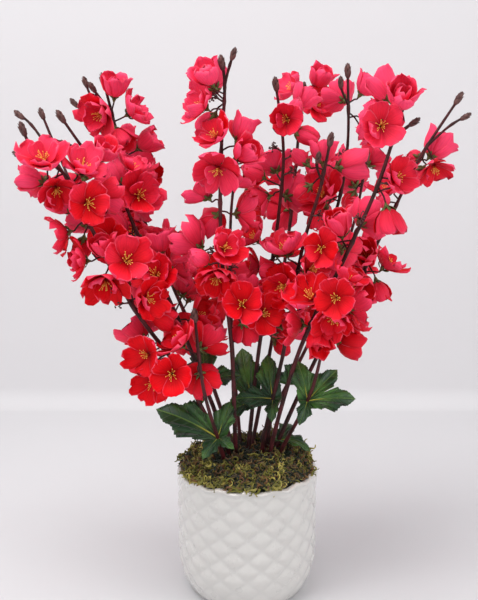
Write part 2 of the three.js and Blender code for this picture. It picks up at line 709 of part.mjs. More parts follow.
// Petals in one shallow cup over a calyx, on a stalk that tapers to its root.
function blossomSolid(blossom, grow) {
  const { side, other } = blossomFrame(blossom);
  const spot = (radius, degrees, lift) => blossom.base.clone()
    .addScaledVector(side, radius * Math.cos(radians(degrees)))
    .addScaledVector(other, radius * Math.sin(radians(degrees)))
    .addScaledVector(blossom.facing, lift);
  const stalkEnd = blossom.root.clone()
    .addScaledVector(blossom.direction, -0.35 * SPUR_RADIUS - 3 * grow);
  if (blossom.form === 'closed') return closedBlossom(blossom, spot, stalkEnd, grow);
  const open = blossom.form === 'open';
  const width = blossom.radius * (open ? 1 : HALF_OPEN_WIDTH);
  const depth = blossom.radius * (open ? OPEN_CUP : HALF_OPEN_CUP);
  const points = [spot(0, 0, PETAL_THICKNESS / 2 + grow), stalkEnd];
  const faces = [];
  for (let petal = 0; petal < PETALS; petal += 1) {
    const degrees = (360 * petal) / PETALS;
    const wave = 0.08 * blossom.radius * Math.sin(2.4 * petal + 3 * blossom.roll);
    const rim = open
      ? [[0.98, -20, 0.95, -wave], [0.98, 20, 0.95, wave]]
      : [[0.97, -21, 0.97, wave], [0.97, 21, 0.97, -wave]];
    points.push(
      spot(CALYX_RADIUS + grow, degrees + 36, -CALYX_DROP - grow),
      spot(0.42 * width + grow, degrees + 36, 0.34 * depth),
      ...rim.map(([out, turn, up, lift]) => spot(out * width + grow, degrees + turn, up * depth + lift)),
    );
    const size = 2 + rim.length;
    const [calyx, notch] = [2 + size * petal, 3 + size * petal];
    const lastPetal = size * ((petal + PETALS - 1) % PETALS);
    const [lastCalyx, lastNotch] = [2 + lastPetal, 3 + lastPetal];
    const edge = [lastNotch, ...rim.map((_, corner) => notch + 1 + corner), notch];
    for (let corner = 0; corner + 1 < edge.length; corner += 1) {
      const [from, to] = [edge[corner], edge[corner + 1]];
      faces.push([0, from, to], [corner < rim.length / 2 ? lastCalyx : calyx, to, from]);
    }
    const keel = edge[Math.ceil(rim.length / 2)];
    faces.push([lastCalyx, calyx, keel], [lastCalyx, 1, calyx]);
  }
  return solidOf(points, faces);
}

// A bud in colour, its petals still wrapped round each other.
function closedBlossom(blossom, spot, stalkEnd, grow) {
  const length = CLOSED_LENGTH * blossom.radius + grow;
  const points = [spot(0, 0, length), stalkEnd];
  const faces = [];
  for (let petal = 0; petal < PETALS; petal += 1) {
    const degrees = (360 * petal) / PETALS;
    points.push(
      spot(CLOSED_WIDTH * blossom.radius + grow, degrees, 0.45 * length),
      spot(CALYX_RADIUS + grow, degrees + 36, -grow),
    );
    const middle = 2 + 2 * petal;
    const next = 2 + 2 * ((petal + 1) % PETALS);
    faces.push(
      [0, middle, next], [middle, middle + 1, next],
      [middle + 1, next + 1, next], [middle + 1, 1, next + 1],
    );
  }
  return solidOf(points, faces);
}

function clusterSolid(cluster, grow = 0) {
  const spur = new THREE.OctahedronGeometry(1);
  spur.scale(SPUR_RADIUS + grow, SPUR_LENGTH / 2 + grow, SPUR_RADIUS + grow);
  spur.applyQuaternion(new THREE.Quaternion().setFromUnitVectors(BACK, cluster.tangent));
  spur.translate(cluster.spur.x, cluster.spur.y, cluster.spur.z);
  return cluster.blossoms.reduce(
    (solid, blossom) => solid.add(blossomSolid(blossom, grow)),
    solidFromGeometry(spur),
  );
}

// ---- Leaves ----

// An arm's directions: out along its middle vein, and level across it.
function armDirections(facing, turn, rise) {
  const level = new THREE.Vector3(1, 0, 0).addScaledVector(facing, -facing.x).normalize();
  const heading = level.applyAxisAngle(facing, radians(turn));
  const side = new THREE.Vector3().crossVectors(facing, heading);
  const along = heading.multiplyScalar(Math.cos(radians(rise)))
    .addScaledVector(facing, Math.sin(radians(rise)));
  return { along, side };
}

// A blade whose arms spread from the stem. It is thickest at the middle and along the main veins,
// and both of its faces are split alike.
function leafSolid({ spray, at, facing, arms }, grow = 0) {
  const { curve } = SPRAYS.find((one) => one.name === spray);
  const centre = curve.getPoint(at);
  const upper = new THREE.Vector3(...facing).normalize();
  const half = LEAF_THICKNESS / 2 + grow;
  const points = [];
  const faces = [];
  const add = (point) => points.push(point) - 1;
  const pair = (middle, over) => [half, -half]
    .map((lift) => add(middle.clone().addScaledVector(over, lift)));
  const hub = pair(centre, upper);
  const sorted = [...arms].sort((one, other) => one[0] - other[0]);
  // Half the turn from each arm to the next one round, and the web there.
  const halfTurns = sorted.map(([turn], index) => {
    const next = index + 1 < sorted.length ? sorted[index + 1][0] : sorted[0][0] + 360;
    return (next - turn) / 2;
  });
  const webs = sorted.map(([turn], index) => {
    const { along } = armDirections(upper, turn + halfTurns[index], 0);
    return add(centre.clone().addScaledVector(along, LEAF_WEB + grow));
  });
  sorted.forEach(([turn, rise, length], index) => {
    const { along, side } = armDirections(upper, turn, rise);
    const over = new THREE.Vector3().crossVectors(along, side);
    const spot = (share, out) => centre.clone()
      .addScaledVector(along, share * length)
      .addScaledVector(side, out * length)
      .addScaledVector(over, length * (
        LEAF_ARCH * Math.sin(Math.PI * share) + LEAF_FOLD * Math.abs(out)));
    const veins = LEAF_NOTCHES.map(([share]) => pair(spot(share, 0), over));
    const tip = add(spot(1 + grow / length, 0));
    for (const way of [1, -1]) {
      const gap = way > 0 ? index : (index + arms.length - 1) % arms.length;
      const room = LEAF_ROOM * Math.tan(radians(Math.min(halfTurns[gap], WIDE_TURN)));
      const edge = ([share, out]) => {
        return add(spot(share, way * (Math.min(out, room * share) + grow / length)));
      };
      const [first, second, third] = LEAF_TEETH.map(edge);
      const [inner, outer] = LEAF_NOTCHES.map(edge);
      for (const layer of [0, 1]) {
        const [middle, near, far] = [hub[layer], veins[0][layer], veins[1][layer]];
        const halfArm = [
          [middle, webs[gap], first], [middle, first, near], [near, first, inner],
          [near, inner, second], [near, second, far], [far, second, outer],
          [far, outer, third], [far, third, tip],
        ];
        const keep = (way > 0) === (layer === 1);
        faces.push(...halfArm.map(([a, b, c]) => (keep ? [a, b, c] : [a, c, b])));
      }
    }
  });
  return solidOf(points, faces);
}

// ---- Assembly ----

const bushNames = Object.keys(BUSHES);
const woodClearance = bushNames.map((bush) => bushSolid(bush, GAP));

const touches = (one, other) => {
  const [a, b] = [one.boundingBox(), other.boundingBox()];
  return [0, 1, 2].every((axis) => a.min[axis] < b.max[axis] && b.min[axis] < a.max[axis]);
};

// Cuts the clearance of the pieces already in place out of a new one.
function fitted(solid, obstacles) {
  const near = obstacles.filter((obstacle) => touches(solid, obstacle));
  return mainPiece(near.reduce((rest, obstacle) => rest.subtract(obstacle), solid));
}

addSubpart('pot', potSolid(), 'pot');
addSubpart('foam_block', fitted(foamSolid(), woodClearance), 'foam');
addSubpart('moss', fitted(mossSolid(), woodClearance), 'moss');
bushNames.forEach((bush) => addSubpart(`stems_${bush}`, bushSolid(bush), 'stem'));

const inPlace = [...woodClearance];

LEAVES.forEach((leaf, index) => {
  const solid = fitted(leafSolid(leaf), inPlace);
  addSubpart(`leaf_${index + 1}`, solid, 'leaf');
  inPlace.push(leafSolid(leaf, GAP).add(solid));
});

const clusters = plantClusters();
placeFrontBlossoms(clusters);
settle(clusters);
for (const cluster of clusters) {
  const blossoms = fitted(clusterSolid(cluster), inPlace);
  addSubpart(cluster.name, blossoms, 'blossom');
  inPlace.push(clusterSolid(cluster, GAP).add(blossoms));
}

export default sprigs;
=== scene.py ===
import math

import bpy
import numpy as np
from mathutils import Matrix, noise


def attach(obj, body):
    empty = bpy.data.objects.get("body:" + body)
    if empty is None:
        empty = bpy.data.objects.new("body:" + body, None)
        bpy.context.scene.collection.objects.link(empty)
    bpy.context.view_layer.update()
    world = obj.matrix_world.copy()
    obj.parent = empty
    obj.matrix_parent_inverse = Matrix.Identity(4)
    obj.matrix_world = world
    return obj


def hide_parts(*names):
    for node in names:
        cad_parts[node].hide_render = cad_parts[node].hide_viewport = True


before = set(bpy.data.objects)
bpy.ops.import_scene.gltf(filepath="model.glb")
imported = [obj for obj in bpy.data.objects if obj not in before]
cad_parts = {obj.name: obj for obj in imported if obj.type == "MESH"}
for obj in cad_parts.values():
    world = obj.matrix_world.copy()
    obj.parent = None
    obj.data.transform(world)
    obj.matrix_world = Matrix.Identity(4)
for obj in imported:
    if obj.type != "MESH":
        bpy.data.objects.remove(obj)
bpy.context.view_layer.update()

MM = 0.001


# ---- Pot ----
# White stoneware, cast in a mould that presses puffed diamonds into its wall. Its grooves are painted a
# little greyer as shade, and the clear gloss glaze runs thin and warm over the scalloped lip.
POT_HEIGHT = 130
POT_RADIUS = 68
FOOT_RADIUS = 55
FOOT_ROUNDING = 45
FOOT_CURVE = 2.5
FOOT_BEVEL = 3
POT_WALL = 5
POT_FLOOR = 8
LIP_RADIUS = 70
LIP_DEPTH = 3.5
SCALLOP = 1.2
LIP_BULGE = 0.9
LIP_HOLLOW = 3
LIP_FADE = 6
DIAMONDS_AROUND = 16
DIAMOND_HEIGHT = 22
DIAMOND_START = 13
DIAMOND_RELIEF = 2
DIAMOND_STEPS = 14
DIAMOND_FADE = 5
ROWS_UNDER_START = 7
# How puffed the smooth faces count as, between 0 in a groove and 1 on top of a diamond.
SMOOTH_PUFF = 0.6
GLAZE = (0.66, 0.645, 0.615)
# The grooves' greyer colour is painted shade.
GROOVE_PAINTED_SHADE = (0.63, 0.617, 0.59)
GLAZE_ON_LIP = (0.72, 0.63, 0.54)


def pick_nothing():
    if bpy.context.mode != "OBJECT":
        bpy.ops.object.mode_set(mode="OBJECT")
    bpy.ops.object.select_all(action="DESELECT")


def turned(name, columns, profile):
    """A round body drawn up from the first ring's disc to the last one's. A ring is radius, height."""
    pick_nothing()
    radius, height = profile[0]
    bpy.ops.mesh.primitive_circle_add(
        vertices=columns, radius=radius * MM, fill_type="NGON", location=(0, 0, height * MM)
    )
    bpy.ops.object.transform_apply(location=True)
    bpy.ops.object.mode_set(mode="EDIT")
    bpy.ops.mesh.select_all(action="SELECT")
    for next_radius, next_height in profile[1:]:
        bpy.ops.mesh.extrude_region_move(
            TRANSFORM_OT_translate={"value": (0, 0, (next_height - height) * MM)}
        )
        share = next_radius / radius
        bpy.ops.transform.resize(
            value=(share, share, 1), center_override=(0, 0, next_height * MM)
        )
        radius, height = next_radius, next_height
    bpy.ops.mesh.select_all(action="SELECT")
    bpy.ops.mesh.normals_make_consistent(inside=False)
    bpy.ops.object.mode_set(mode="OBJECT")
    bpy.ops.object.shade_smooth()
    body = bpy.context.object
    body.name = name
    return body


def points_of(body):
    """The piece's points in millimetres, one row each."""
    points = np.empty(3 * len(body.data.vertices))
    body.data.vertices.foreach_get("co", points)
    return points.reshape(-1, 3) / MM


def move_points(body, points):
    body.data.vertices.foreach_set("co", (points * MM).ravel())
    body.data.update()


def mark_points(body, name, values):
    mark = body.data.attributes.new(name, "FLOAT", "POINT")
    mark.data.foreach_set("value", np.asarray(values, dtype=np.float32))


def new_finish(name, shine):
    """A material, its nodes and links, and its shader with what is alike all over set on it."""
    finish = bpy.data.materials.new(name)
    finish.use_nodes = True
    nodes, links = finish.node_tree.nodes, finish.node_tree.links
    shader = nodes["Principled BSDF"]
    for socket, value in shine.items():
        shader.inputs[socket].default_value = value
    return finish, nodes, links, shader


def make_unevenness():
    """Soft patches of lighter and darker tone round 1, and the same patches as a height."""
    group = bpy.data.node_groups.new("Unevenness", "ShaderNodeTree")
    for label, kind, value in [
        ("Place", "NodeSocketVector", None),
        ("Patches per metre", "NodeSocketFloat", 60.0),
        ("Contrast", "NodeSocketFloat", 0.3),
    ]:
        socket = group.interface.new_socket(label, in_out="INPUT", socket_type=kind)
        if value is not None:
            socket.default_value = value
    group.interface.new_socket("Tone", in_out="OUTPUT", socket_type="NodeSocketFloat")
    group.interface.new_socket("Height", in_out="OUTPUT", socket_type="NodeSocketFloat")
    nodes, links = group.nodes, group.links
    entry, leave = nodes.new("NodeGroupInput"), nodes.new("NodeGroupOutput")
    patches = nodes.new("ShaderNodeTexNoise")
    patches.inputs["Detail"].default_value = 4
    centred = nodes.new("ShaderNodeMath")
    centred.operation = "SUBTRACT"
    centred.inputs[1].default_value = 0.5
    tone = nodes.new("ShaderNodeMath")
    tone.operation = "MULTIPLY_ADD"
    tone.inputs[2].default_value = 1
    links.new(entry.outputs["Place"], patches.inputs["Vector"])
    links.new(entry.outputs["Patches per metre"], patches.inputs["Scale"])
    links.new(patches.outputs["Fac"], centred.inputs[0])
    links.new(centred.outputs[0], tone.inputs[0])
    links.new(entry.outputs["Contrast"], tone.inputs[1])
    links.new(tone.outputs[0], leave.inputs["Tone"])
    links.new(patches.outputs["Fac"], leave.inputs["Height"])
    return group


unevenness = make_unevenness()


def add_unevenness(nodes, links, patches_per_metre, contrast, place=None):
    """The unevenness group on the piece's own coordinates, or on the given ones."""
    uneven = nodes.new("ShaderNodeGroup")
    uneven.node_tree = unevenness
    uneven.inputs["Patches per metre"].default_value = patches_per_metre
    uneven.inputs["Contrast"].default_value = contrast
    if place is None:
        place = nodes.new("ShaderNodeTexCoord").outputs["Object"]
    links.new(place, uneven.inputs["Place"])
    return uneven


def blended(nodes, links, share, low, high, way="MIX"):
    """One colour mixed into another. Each of the three is a value or another node's output."""
    mix = nodes.new("ShaderNodeMix")
    mix.data_type, mix.blend_type = "RGBA", way
    for socket, value in [(mix.inputs[0], share), (mix.inputs[6], low), (mix.inputs[7], high)]:
        if isinstance(value, bpy.types.NodeSocket):
            links.new(value, socket)
        elif isinstance(value, tuple):
            socket.default_value = (*value, 1)
        else:
            socket.default_value = value
    return mix.outputs[2]


def rising(nodes, links, source, low, high, least=0.0, most=1.0):
    """least below low, most above high, and a smooth rise between them."""
    rise = nodes.new("ShaderNodeMapRange")
    rise.interpolation_type = "SMOOTHSTEP"
    for socket, value in zip(("From Min", "From Max", "To Min", "To Max"), (low, high, least, most)):
        rise.inputs[socket].default_value = value
    links.new(source, rise.inputs["Value"])
    return rise.outputs["Result"]


def marked(nodes, name):
    mark = nodes.new("ShaderNodeAttribute")
    mark.attribute_name = name
    return mark.outputs["Fac"]


def coloured(nodes, links, shader, colour, uneven):
    """The colour, lighter and darker in the unevenness's patches, as the shader's own."""
    colour = blended(nodes, links, 1, colour, uneven.outputs["Tone"], "MULTIPLY")
    links.new(colour, shader.inputs["Base Color"])


def raised(nodes, links, shader, height, distance, strength=1.0):
    bump = nodes.new("ShaderNodeBump")
    bump.inputs["Distance"].default_value = distance
    bump.inputs["Strength"].default_value = strength
    links.new(height, bump.inputs["Height"])
    links.new(bump.outputs["Normal"], shader.inputs["Normal"])


def wall_radius(height):
    below = np.maximum(0, 1 - height / FOOT_ROUNDING)
    return POT_RADIUS - (POT_RADIUS - FOOT_RADIUS) * below**FOOT_CURVE


lip_middle = POT_HEIGHT - LIP_DEPTH
pot_profile = [(FOOT_RADIUS - FOOT_BEVEL, 0), (FOOT_RADIUS - 0.8, 0.5)]
row_height = DIAMOND_HEIGHT / DIAMOND_STEPS
lowest_row = DIAMOND_START - ROWS_UNDER_START * row_height
wall_heights = np.arange(lowest_row, lip_middle - LIP_HOLLOW, row_height)
pot_profile += [(wall_radius(h), h) for h in wall_heights]
pot_profile += [
    (LIP_RADIUS - 0.9, lip_middle - 1.6), (LIP_RADIUS - 0.2, lip_middle - 0.6),
    (LIP_RADIUS, lip_middle + 0.3), (LIP_RADIUS - 0.5, lip_middle + 1.2),
    (LIP_RADIUS - 1.6, POT_HEIGHT - SCALLOP - 0.3), (LIP_RADIUS - 3, POT_HEIGHT - SCALLOP),
    (LIP_RADIUS - 4.6, POT_HEIGHT - SCALLOP - 0.2), (LIP_RADIUS - 6, lip_middle + 1.4),
    (POT_RADIUS - POT_WALL, lip_middle), (POT_RADIUS - POT_WALL, FOOT_ROUNDING),
    (wall_radius(FOOT_ROUNDING / 3) - POT_WALL, FOOT_ROUNDING / 3),
    (wall_radius(POT_FLOOR) - POT_WALL - 1, POT_FLOOR),
]
pot = turned("quilted_pot", DIAMONDS_AROUND * DIAMOND_STEPS, pot_profile)

points = points_of(pot)
angle = np.arctan2(points[:, 1], points[:, 0])
radius = np.hypot(points[:, 0], points[:, 1])
height = points[:, 2]
across = DIAMONDS_AROUND * angle / (2 * math.pi)
along = (height - DIAMOND_START) / DIAMOND_HEIGHT
puff = np.ones_like(height)
for rows in (across + along, across - along):
    puff *= 1 - np.abs(2 * (rows % 1) - 1) ** 2
outside = radius > wall_radius(height) - 1
relief = DIAMOND_RELIEF * puff * np.minimum(1, height / FOOT_ROUNDING)
relief *= outside * np.clip((lip_middle - LIP_HOLLOW / 2 - height) / DIAMOND_FADE, 0, 1)
points[:, :2] *= (1 + relief / radius)[:, None]
wave = np.cos(DIAMONDS_AROUND * angle)
wave *= np.clip((height - lip_middle + LIP_FADE) / LIP_FADE, 0, 1) ** 2
points[:, 2] += SCALLOP * wave
points[:, :2] *= (1 - LIP_BULGE * wave * (radius > POT_RADIUS - 2) / radius)[:, None]
move_points(pot, points)
mark_points(pot, "puff", np.where(outside, puff, SMOOTH_PUFF))

glaze, nodes, links, shader = new_finish(
    "white glaze", {"Roughness": 0.3, "Coat Weight": 0.8, "Coat Roughness": 0.07}
)
uneven = add_unevenness(nodes, links, 45, 0.08)
# Painted shade: the grooves take the greyer colour, and the diamonds' tops take the plain glaze.
colour = blended(
    nodes, links, rising(nodes, links, marked(nodes, "puff"), 0, 0.45), GROOVE_PAINTED_SHADE, GLAZE
)
place = nodes.new("ShaderNodeSeparateXYZ")
links.new(nodes.new("ShaderNodeTexCoord").outputs["Object"], place.inputs[0])
lip_share = rising(
    nodes, links, place.outputs["Z"], (lip_middle - 2) * MM, POT_HEIGHT * MM, most=0.4
)
coloured(nodes, links, shader, blended(nodes, links, lip_share, colour, GLAZE_ON_LIP), uneven)
roughness = rising(nodes, links, uneven.outputs["Height"], 0.3, 0.7, least=0.24, most=0.4)
links.new(roughness, shader.inputs["Roughness"])
raised(nodes, links, shader, uneven.outputs["Height"], 0.0012, 0.35)
pot.data.materials.append(glaze)
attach(pot, "root")
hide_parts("pot")


# ---- Foam block ----
# A block of green florist's foam cut to fit the pot. The stems are pushed into it, and the moss
# hides it. Its solid is right as it is and only takes the foam's crumbly finish.
FOAM_GREEN = (0.075, 0.13, 0.045)

foam, nodes, links, shader = new_finish("florist's foam", {"Roughness": 0.95})
uneven = add_unevenness(nodes, links, 900, 1.1)
coloured(nodes, links, shader, FOAM_GREEN, uneven)
raised(nodes, links, shader, uneven.outputs["Height"], 0.001)
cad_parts["foam_block"].material_slots[0].material = foam


# ---- Moss ----
# Dried sheet moss, dyed olive and patched with rust, with its mat and darkest strands painted a
# near-black green as the shade in its gaps and under the stems. It is pressed over the foam in a low
# mound, and its curly strands stand up from it and hang over the pot's lip here and there.
MOSS_RADIUS = 61.5
MOSS_OVERHANG = 66
MOSS_EDGE_HEIGHT = 132.5
MOSS_DOME = 11
MOSS_LUMP = 1.6
MOSS_UNDERSIDE = 104.4
# Higher heaps in the mat: x, y, rise and spread.
MOSS_MOUNDS = [(36, 34, 11, 24), (-36, 26, 5, 22)]
MOSS_STRANDS = 3000
MOSS_SEED = 7
STRAND_SHAPES = 12
STRAND_STEPS = 7
STRAND_SHORTEST = 7
STRAND_LONGEST = 16
STRAND_ROOT = 1.2
# Past this share of the way out the strands lean outwards, and the hanging ones start at the lip.
MOSS_FRINGE = 0.9
HANGING_RADIUS = 67.5
HANGING_SHORTEST = 9
HANGING_LONGEST = 19
# How wide the patches of like tone are, and how far the painted shade in the middle under the stems
# reaches.
MOSS_PATCH = 9
MOSS_SHADED_MIDDLE = 30
# Where strands hang over the lip: the way round from +X in degrees, and how many.
HANGING_TUFTS = [(-146, 26), (-131, 14), (-68, 20), (-98, 7), (-84, 6), (-22, 8), (30, 9), (165, 9)]
MOSS_OLIVE = (0.15, 0.145, 0.010)
MOSS_STRAW = (0.50, 0.42, 0.085)
MOSS_RUST = (0.17, 0.070, 0.018)
# The darkest moss colour is painted shade, for the gaps between strands and the middle under the stems.
MOSS_PAINTED_SHADE = (0.010, 0.020, 0.005)


def sweep(path, radii, sides):
    """A round strand along a path, closed at both ends, as arrays that copies are laid from."""
    path = np.asarray(path, dtype=float)
    radii = np.broadcast_to(np.asarray(radii, dtype=float), len(path))
    headings = np.gradient(path, axis=0)
    headings /= np.linalg.norm(headings, axis=1)[:, None]
    level = np.cross(headings[0], (0.3, 0.9, 0.31))
    rings = []
    turns = 2 * math.pi * np.arange(sides) / sides
    for centre, heading, radius in zip(path, headings, radii):
        level = level - heading * (level @ heading)
        level /= np.linalg.norm(level)
        upright = np.cross(heading, level)
        rings.append(
            centre + radius * (np.outer(np.cos(turns), level) + np.outer(np.sin(turns), upright))
        )
    rows, corner = np.meshgrid(np.arange(len(path) - 1), np.arange(sides), indexing="ij")
    first = rows * sides + corner
    second = rows * sides + (corner + 1) % sides
    quads = np.stack([first, second, second + sides, first + sides], axis=-1).reshape(-1, 4)
    lengths = np.concatenate([[0], np.cumsum(np.linalg.norm(np.diff(path, axis=0), axis=1))])
    across = np.stack([corner, corner + 1, corner + 1, corner], axis=-1).reshape(-1, 4) / sides
    along = np.stack([rows, rows, rows + 1, rows + 1], axis=-1).reshape(-1, 4)
    ends = np.concatenate([np.arange(sides)[::-1], (len(path) - 1) * sides + np.arange(sides)])
    end_uv = np.zeros((2 * sides, 2))
    end_uv[sides:, 1] = lengths[-1]
    return {
        "points": np.concatenate(rings),
        "corners": np.concatenate([quads.ravel(), ends]),
        "sizes": np.array([4] * len(quads) + [sides, sides]),
        "uv": np.concatenate([np.stack([across, lengths[along]], axis=-1).reshape(-1, 2), end_uv]),
    }


def shape_of(model):
    """A modelled shape as arrays that copies are laid from. The model itself goes."""
    mesh = model.data
    corners = np.empty(len(mesh.loops), dtype=int)
    sizes = np.empty(len(mesh.polygons), dtype=int)
    uv = np.zeros(2 * len(mesh.loops))
    mesh.loops.foreach_get("vertex_index", corners)
    mesh.polygons.foreach_get("loop_total", sizes)
    if mesh.uv_layers.active:
        mesh.uv_layers.active.data.foreach_get("uv", uv)
    shape = {
        "points": points_of(model), "corners": corners, "sizes": sizes, "uv": uv.reshape(-1, 2)
    }
    bpy.data.objects.remove(model)
    return shape


def lay_out(name, finishes, parts):
    """One piece from shapes laid in place: shape, 3x3 turn and scale, place, finish and tone."""
    points, corners, sizes, uv, slots, tones = [], [], [], [], [], []
    count = 0
    for shape, turn, place, slot, tone in parts:
        laid = shape["points"] @ np.asarray(turn, dtype=float).T + place
        points.append(laid)
        corners.append(shape["corners"] + count)
        sizes.append(shape["sizes"])
        uv.append(shape["uv"])
        slots.append(np.full(len(shape["sizes"]), slot))
        tones.append(np.full(len(laid), tone))
        count += len(laid)
    sizes = np.concatenate(sizes)
    mesh = bpy.data.meshes.new(name)
    mesh.vertices.add(count)
    mesh.vertices.foreach_set("co", (np.concatenate(points) * MM).ravel())
    mesh.loops.add(int(sizes.sum()))
    mesh.loops.foreach_set("vertex_index", np.concatenate(corners))
    mesh.polygons.add(len(sizes))
    mesh.polygons.foreach_set("loop_start", np.concatenate([[0], np.cumsum(sizes)[:-1]]))
    mesh.polygons.foreach_set("material_index", np.concatenate(slots))
    mesh.polygons.foreach_set("use_smooth", np.ones(len(sizes), dtype=bool))
    mesh.uv_layers.new(name="Surface").data.foreach_set("uv", np.concatenate(uv).ravel())
    mesh.update(calc_edges=True)
    mesh.validate()
    piece = bpy.data.objects.new(name, mesh)
    bpy.context.scene.collection.objects.link(piece)
    for finish in finishes:
        mesh.materials.append(finish)
    mark_points(piece, "tone", np.concatenate(tones))
    return piece


def in_place(shape, slot=0, tone=0.5):
    """A shape that already stands where it belongs, as lay_out takes its parts."""
    return shape, np.eye(3), (0, 0, 0), slot, tone


def turn_about(axis, degrees):
    """The 3x3 turn about an axis, as Rodrigues gives it."""
    x, y, z = np.asarray(axis, dtype=float) / np.linalg.norm(axis)
    cross = np.array([[0, -z, y], [z, 0, -x], [-y, x, 0]])
    angle = math.radians(degrees)
    return np.eye(3) + math.sin(angle) * cross + (1 - math.cos(angle)) * cross @ cross


def moss_height(x, y):
    inward = 1 - (np.hypot(x, y) / MOSS_OVERHANG) ** 3
    rise = MOSS_DOME * inward
    for mound_x, mound_y, mound_rise, spread in MOSS_MOUNDS:
        away = np.hypot(x - mound_x, y - mound_y) / spread
        rise = rise + mound_rise * np.exp(-away * away)
    lumps = np.sin(0.31 * x + 1.2) * np.cos(0.27 * y) + np.sin(0.19 * (x - y) + 0.4)
    return MOSS_EDGE_HEIGHT + rise + MOSS_LUMP * lumps * np.minimum(1, 2 * inward + 0.25)


moss_profile = [(MOSS_RADIUS - 1, MOSS_UNDERSIDE), (MOSS_RADIUS, POT_HEIGHT + 0.4)]
moss_profile += [(MOSS_OVERHANG, POT_HEIGHT + 1.8)]
moss_profile += [(MOSS_OVERHANG * share, POT_HEIGHT + 3) for share in np.linspace(0.97, 0.03, 24)]
moss_bed = turned("moss_bed", 90, moss_profile)
points = points_of(moss_bed)
on_top = points[:, 2] > POT_HEIGHT + 2.5
tufty = np.array([noise.fractal(point / 7, 1, 2, 4) for point in points])
points[on_top, 2] = (moss_height(points[:, 0], points[:, 1]) + 1.6 * tufty - 1)[on_top]
move_points(moss_bed, points)
moss_bed_shape = shape_of(moss_bed)

chance = np.random.default_rng(MOSS_SEED)


def curly_strand():
    """A strand of moss about 1 long that stands up and curls over on itself."""
    bend, twist = chance.uniform(1, 2.5), chance.uniform(-1, 1)
    heading, place = np.array([0.0, 0.25, 1.0]), np.zeros(3)
    path = [place]
    for step in range(STRAND_STEPS):
        curl = -34 * bend * (0.5 + step / STRAND_STEPS)
        heading = turn_about((1, 0.3 * twist, 0), curl) @ heading
        heading = turn_about((0, 0, 1), 40 * twist) @ heading
        place = place + heading / np.linalg.norm(heading) / STRAND_STEPS
        path.append(place)
    return sweep(path, np.linspace(0.085, 0.035, len(path)), 3)


strands = [curly_strand() for _ in range(STRAND_SHAPES)]
# The mat under the strands is painted near black as the shade in their gaps.
parts = [in_place(moss_bed_shape, tone=0.12)]
spread = MOSS_OVERHANG * np.sqrt(chance.uniform(0, 1, MOSS_STRANDS)) * 0.985
turns = chance.uniform(0, 2 * math.pi, MOSS_STRANDS)
for x, y in zip(spread * np.cos(turns), spread * np.sin(turns)):
    length = chance.uniform(STRAND_SHORTEST, STRAND_LONGEST)
    lean = turn_about((math.cos(chance.uniform(0, 6.3)), math.sin(chance.uniform(0, 6.3)), 0),
                      chance.uniform(20, 85))
    spin = turn_about((0, 0, 1), chance.uniform(0, 360))
    outward = math.hypot(x, y)
    if outward > MOSS_FRINGE * MOSS_OVERHANG:
        lean = turn_about((-y, x, 0), chance.uniform(40, 95))
    patch = 0.46 + 0.9 * noise.noise((x / MOSS_PATCH, y / MOSS_PATCH, 3.1))
    # Painted shade: the strands darken towards the middle, under the stems.
    patch -= 0.5 * math.exp(-((outward / MOSS_SHADED_MIDDLE) ** 2))
    tone = np.clip(patch + chance.normal(0, 0.2), 0.05, 1)
    parts.append((strands[chance.integers(STRAND_SHAPES)], lean @ spin * length,
                  (x, y, moss_height(x, y) - STRAND_ROOT), 0, tone))
for degrees, count in HANGING_TUFTS:
    for _ in range(count):
        way = math.radians(degrees + chance.normal(0, 4))
        x, y = HANGING_RADIUS * math.cos(way), HANGING_RADIUS * math.sin(way)
        lean = turn_about((-y, x, 0), chance.uniform(95, 150))
        spin = turn_about((0, 0, 1), chance.uniform(0, 360))
        strand = strands[chance.integers(STRAND_SHAPES)]
        length = chance.uniform(HANGING_SHORTEST, HANGING_LONGEST)
        parts.append((strand, lean @ spin * length, (x, y, POT_HEIGHT + chance.uniform(0.5, 3)), 0,
                      chance.uniform(0.3, 0.9)))

moss_finish, nodes, links, shader = new_finish(
    "dried moss", {"Roughness": 0.82, "Sheen Weight": 0.15, "Sheen Roughness": 0.5}
)
tone = marked(nodes, "tone")
uneven = add_unevenness(nodes, links, 260, 0.7)
colour = blended(nodes, links, rising(nodes, links, tone, 0.1, 0.3), MOSS_PAINTED_SHADE, MOSS_RUST)
colour = blended(nodes, links, rising(nodes, links, tone, 0.28, 0.55), colour, MOSS_OLIVE)
colour = blended(nodes, links, rising(nodes, links, tone, 0.6, 0.95), colour, MOSS_STRAW)
coloured(nodes, links, shader, colour, uneven)
raised(nodes, links, shader, uneven.outputs["Height"], 0.002, 0.6)
moss = lay_out("sheet_moss", [moss_finish], parts)
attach(moss, "root")
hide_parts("moss")


# ---- Stems ----
# Three bushes of wire-cored stems wrapped in maroon-brown, each moulded on one stub that is pushed
# into the foam. Every stem narrows to a twig, forks near its top and ends in a scaly winter bud.
STUB_BOTTOM = 45
STUB_TOP = 104
STUB_RADIUS = 8.5
STEM_RADIUS = 2.4
TWIG_RADIUS = 1.3
FORK_RADIUS = 1.2
# A bud, its scales and how large it is on a fork. The scales' sheet is a share of the bud's length.
BUD_LENGTH = 15
BUD_RADIUS = 3.1
BUD_SCALES = 13
BUD_SCALE_SHEET = 0.02
FORK_BUD = 0.85
GOLDEN_ANGLE = 137.5
BARK_MAROON = (0.085, 0.010, 0.014)
BARK_BROWN = (0.026, 0.007, 0.006)
# The lighter streak colour is a painted sheen along the stems.
BARK_PAINTED_SHEEN = (0.24, 0.055, 0.065)
BUD_BROWN = (0.062, 0.020, 0.020)
BUD_EDGE = (0.15, 0.065, 0.055)
TUFT_SHAPES = 4
TUFT_THREADS = 10
TUFT_TILT = 62
TUFT_SIZE = 1.25
BUSHES = {"left": (-19, -6), "centre": (-3, 8), "right": (21, 2)}

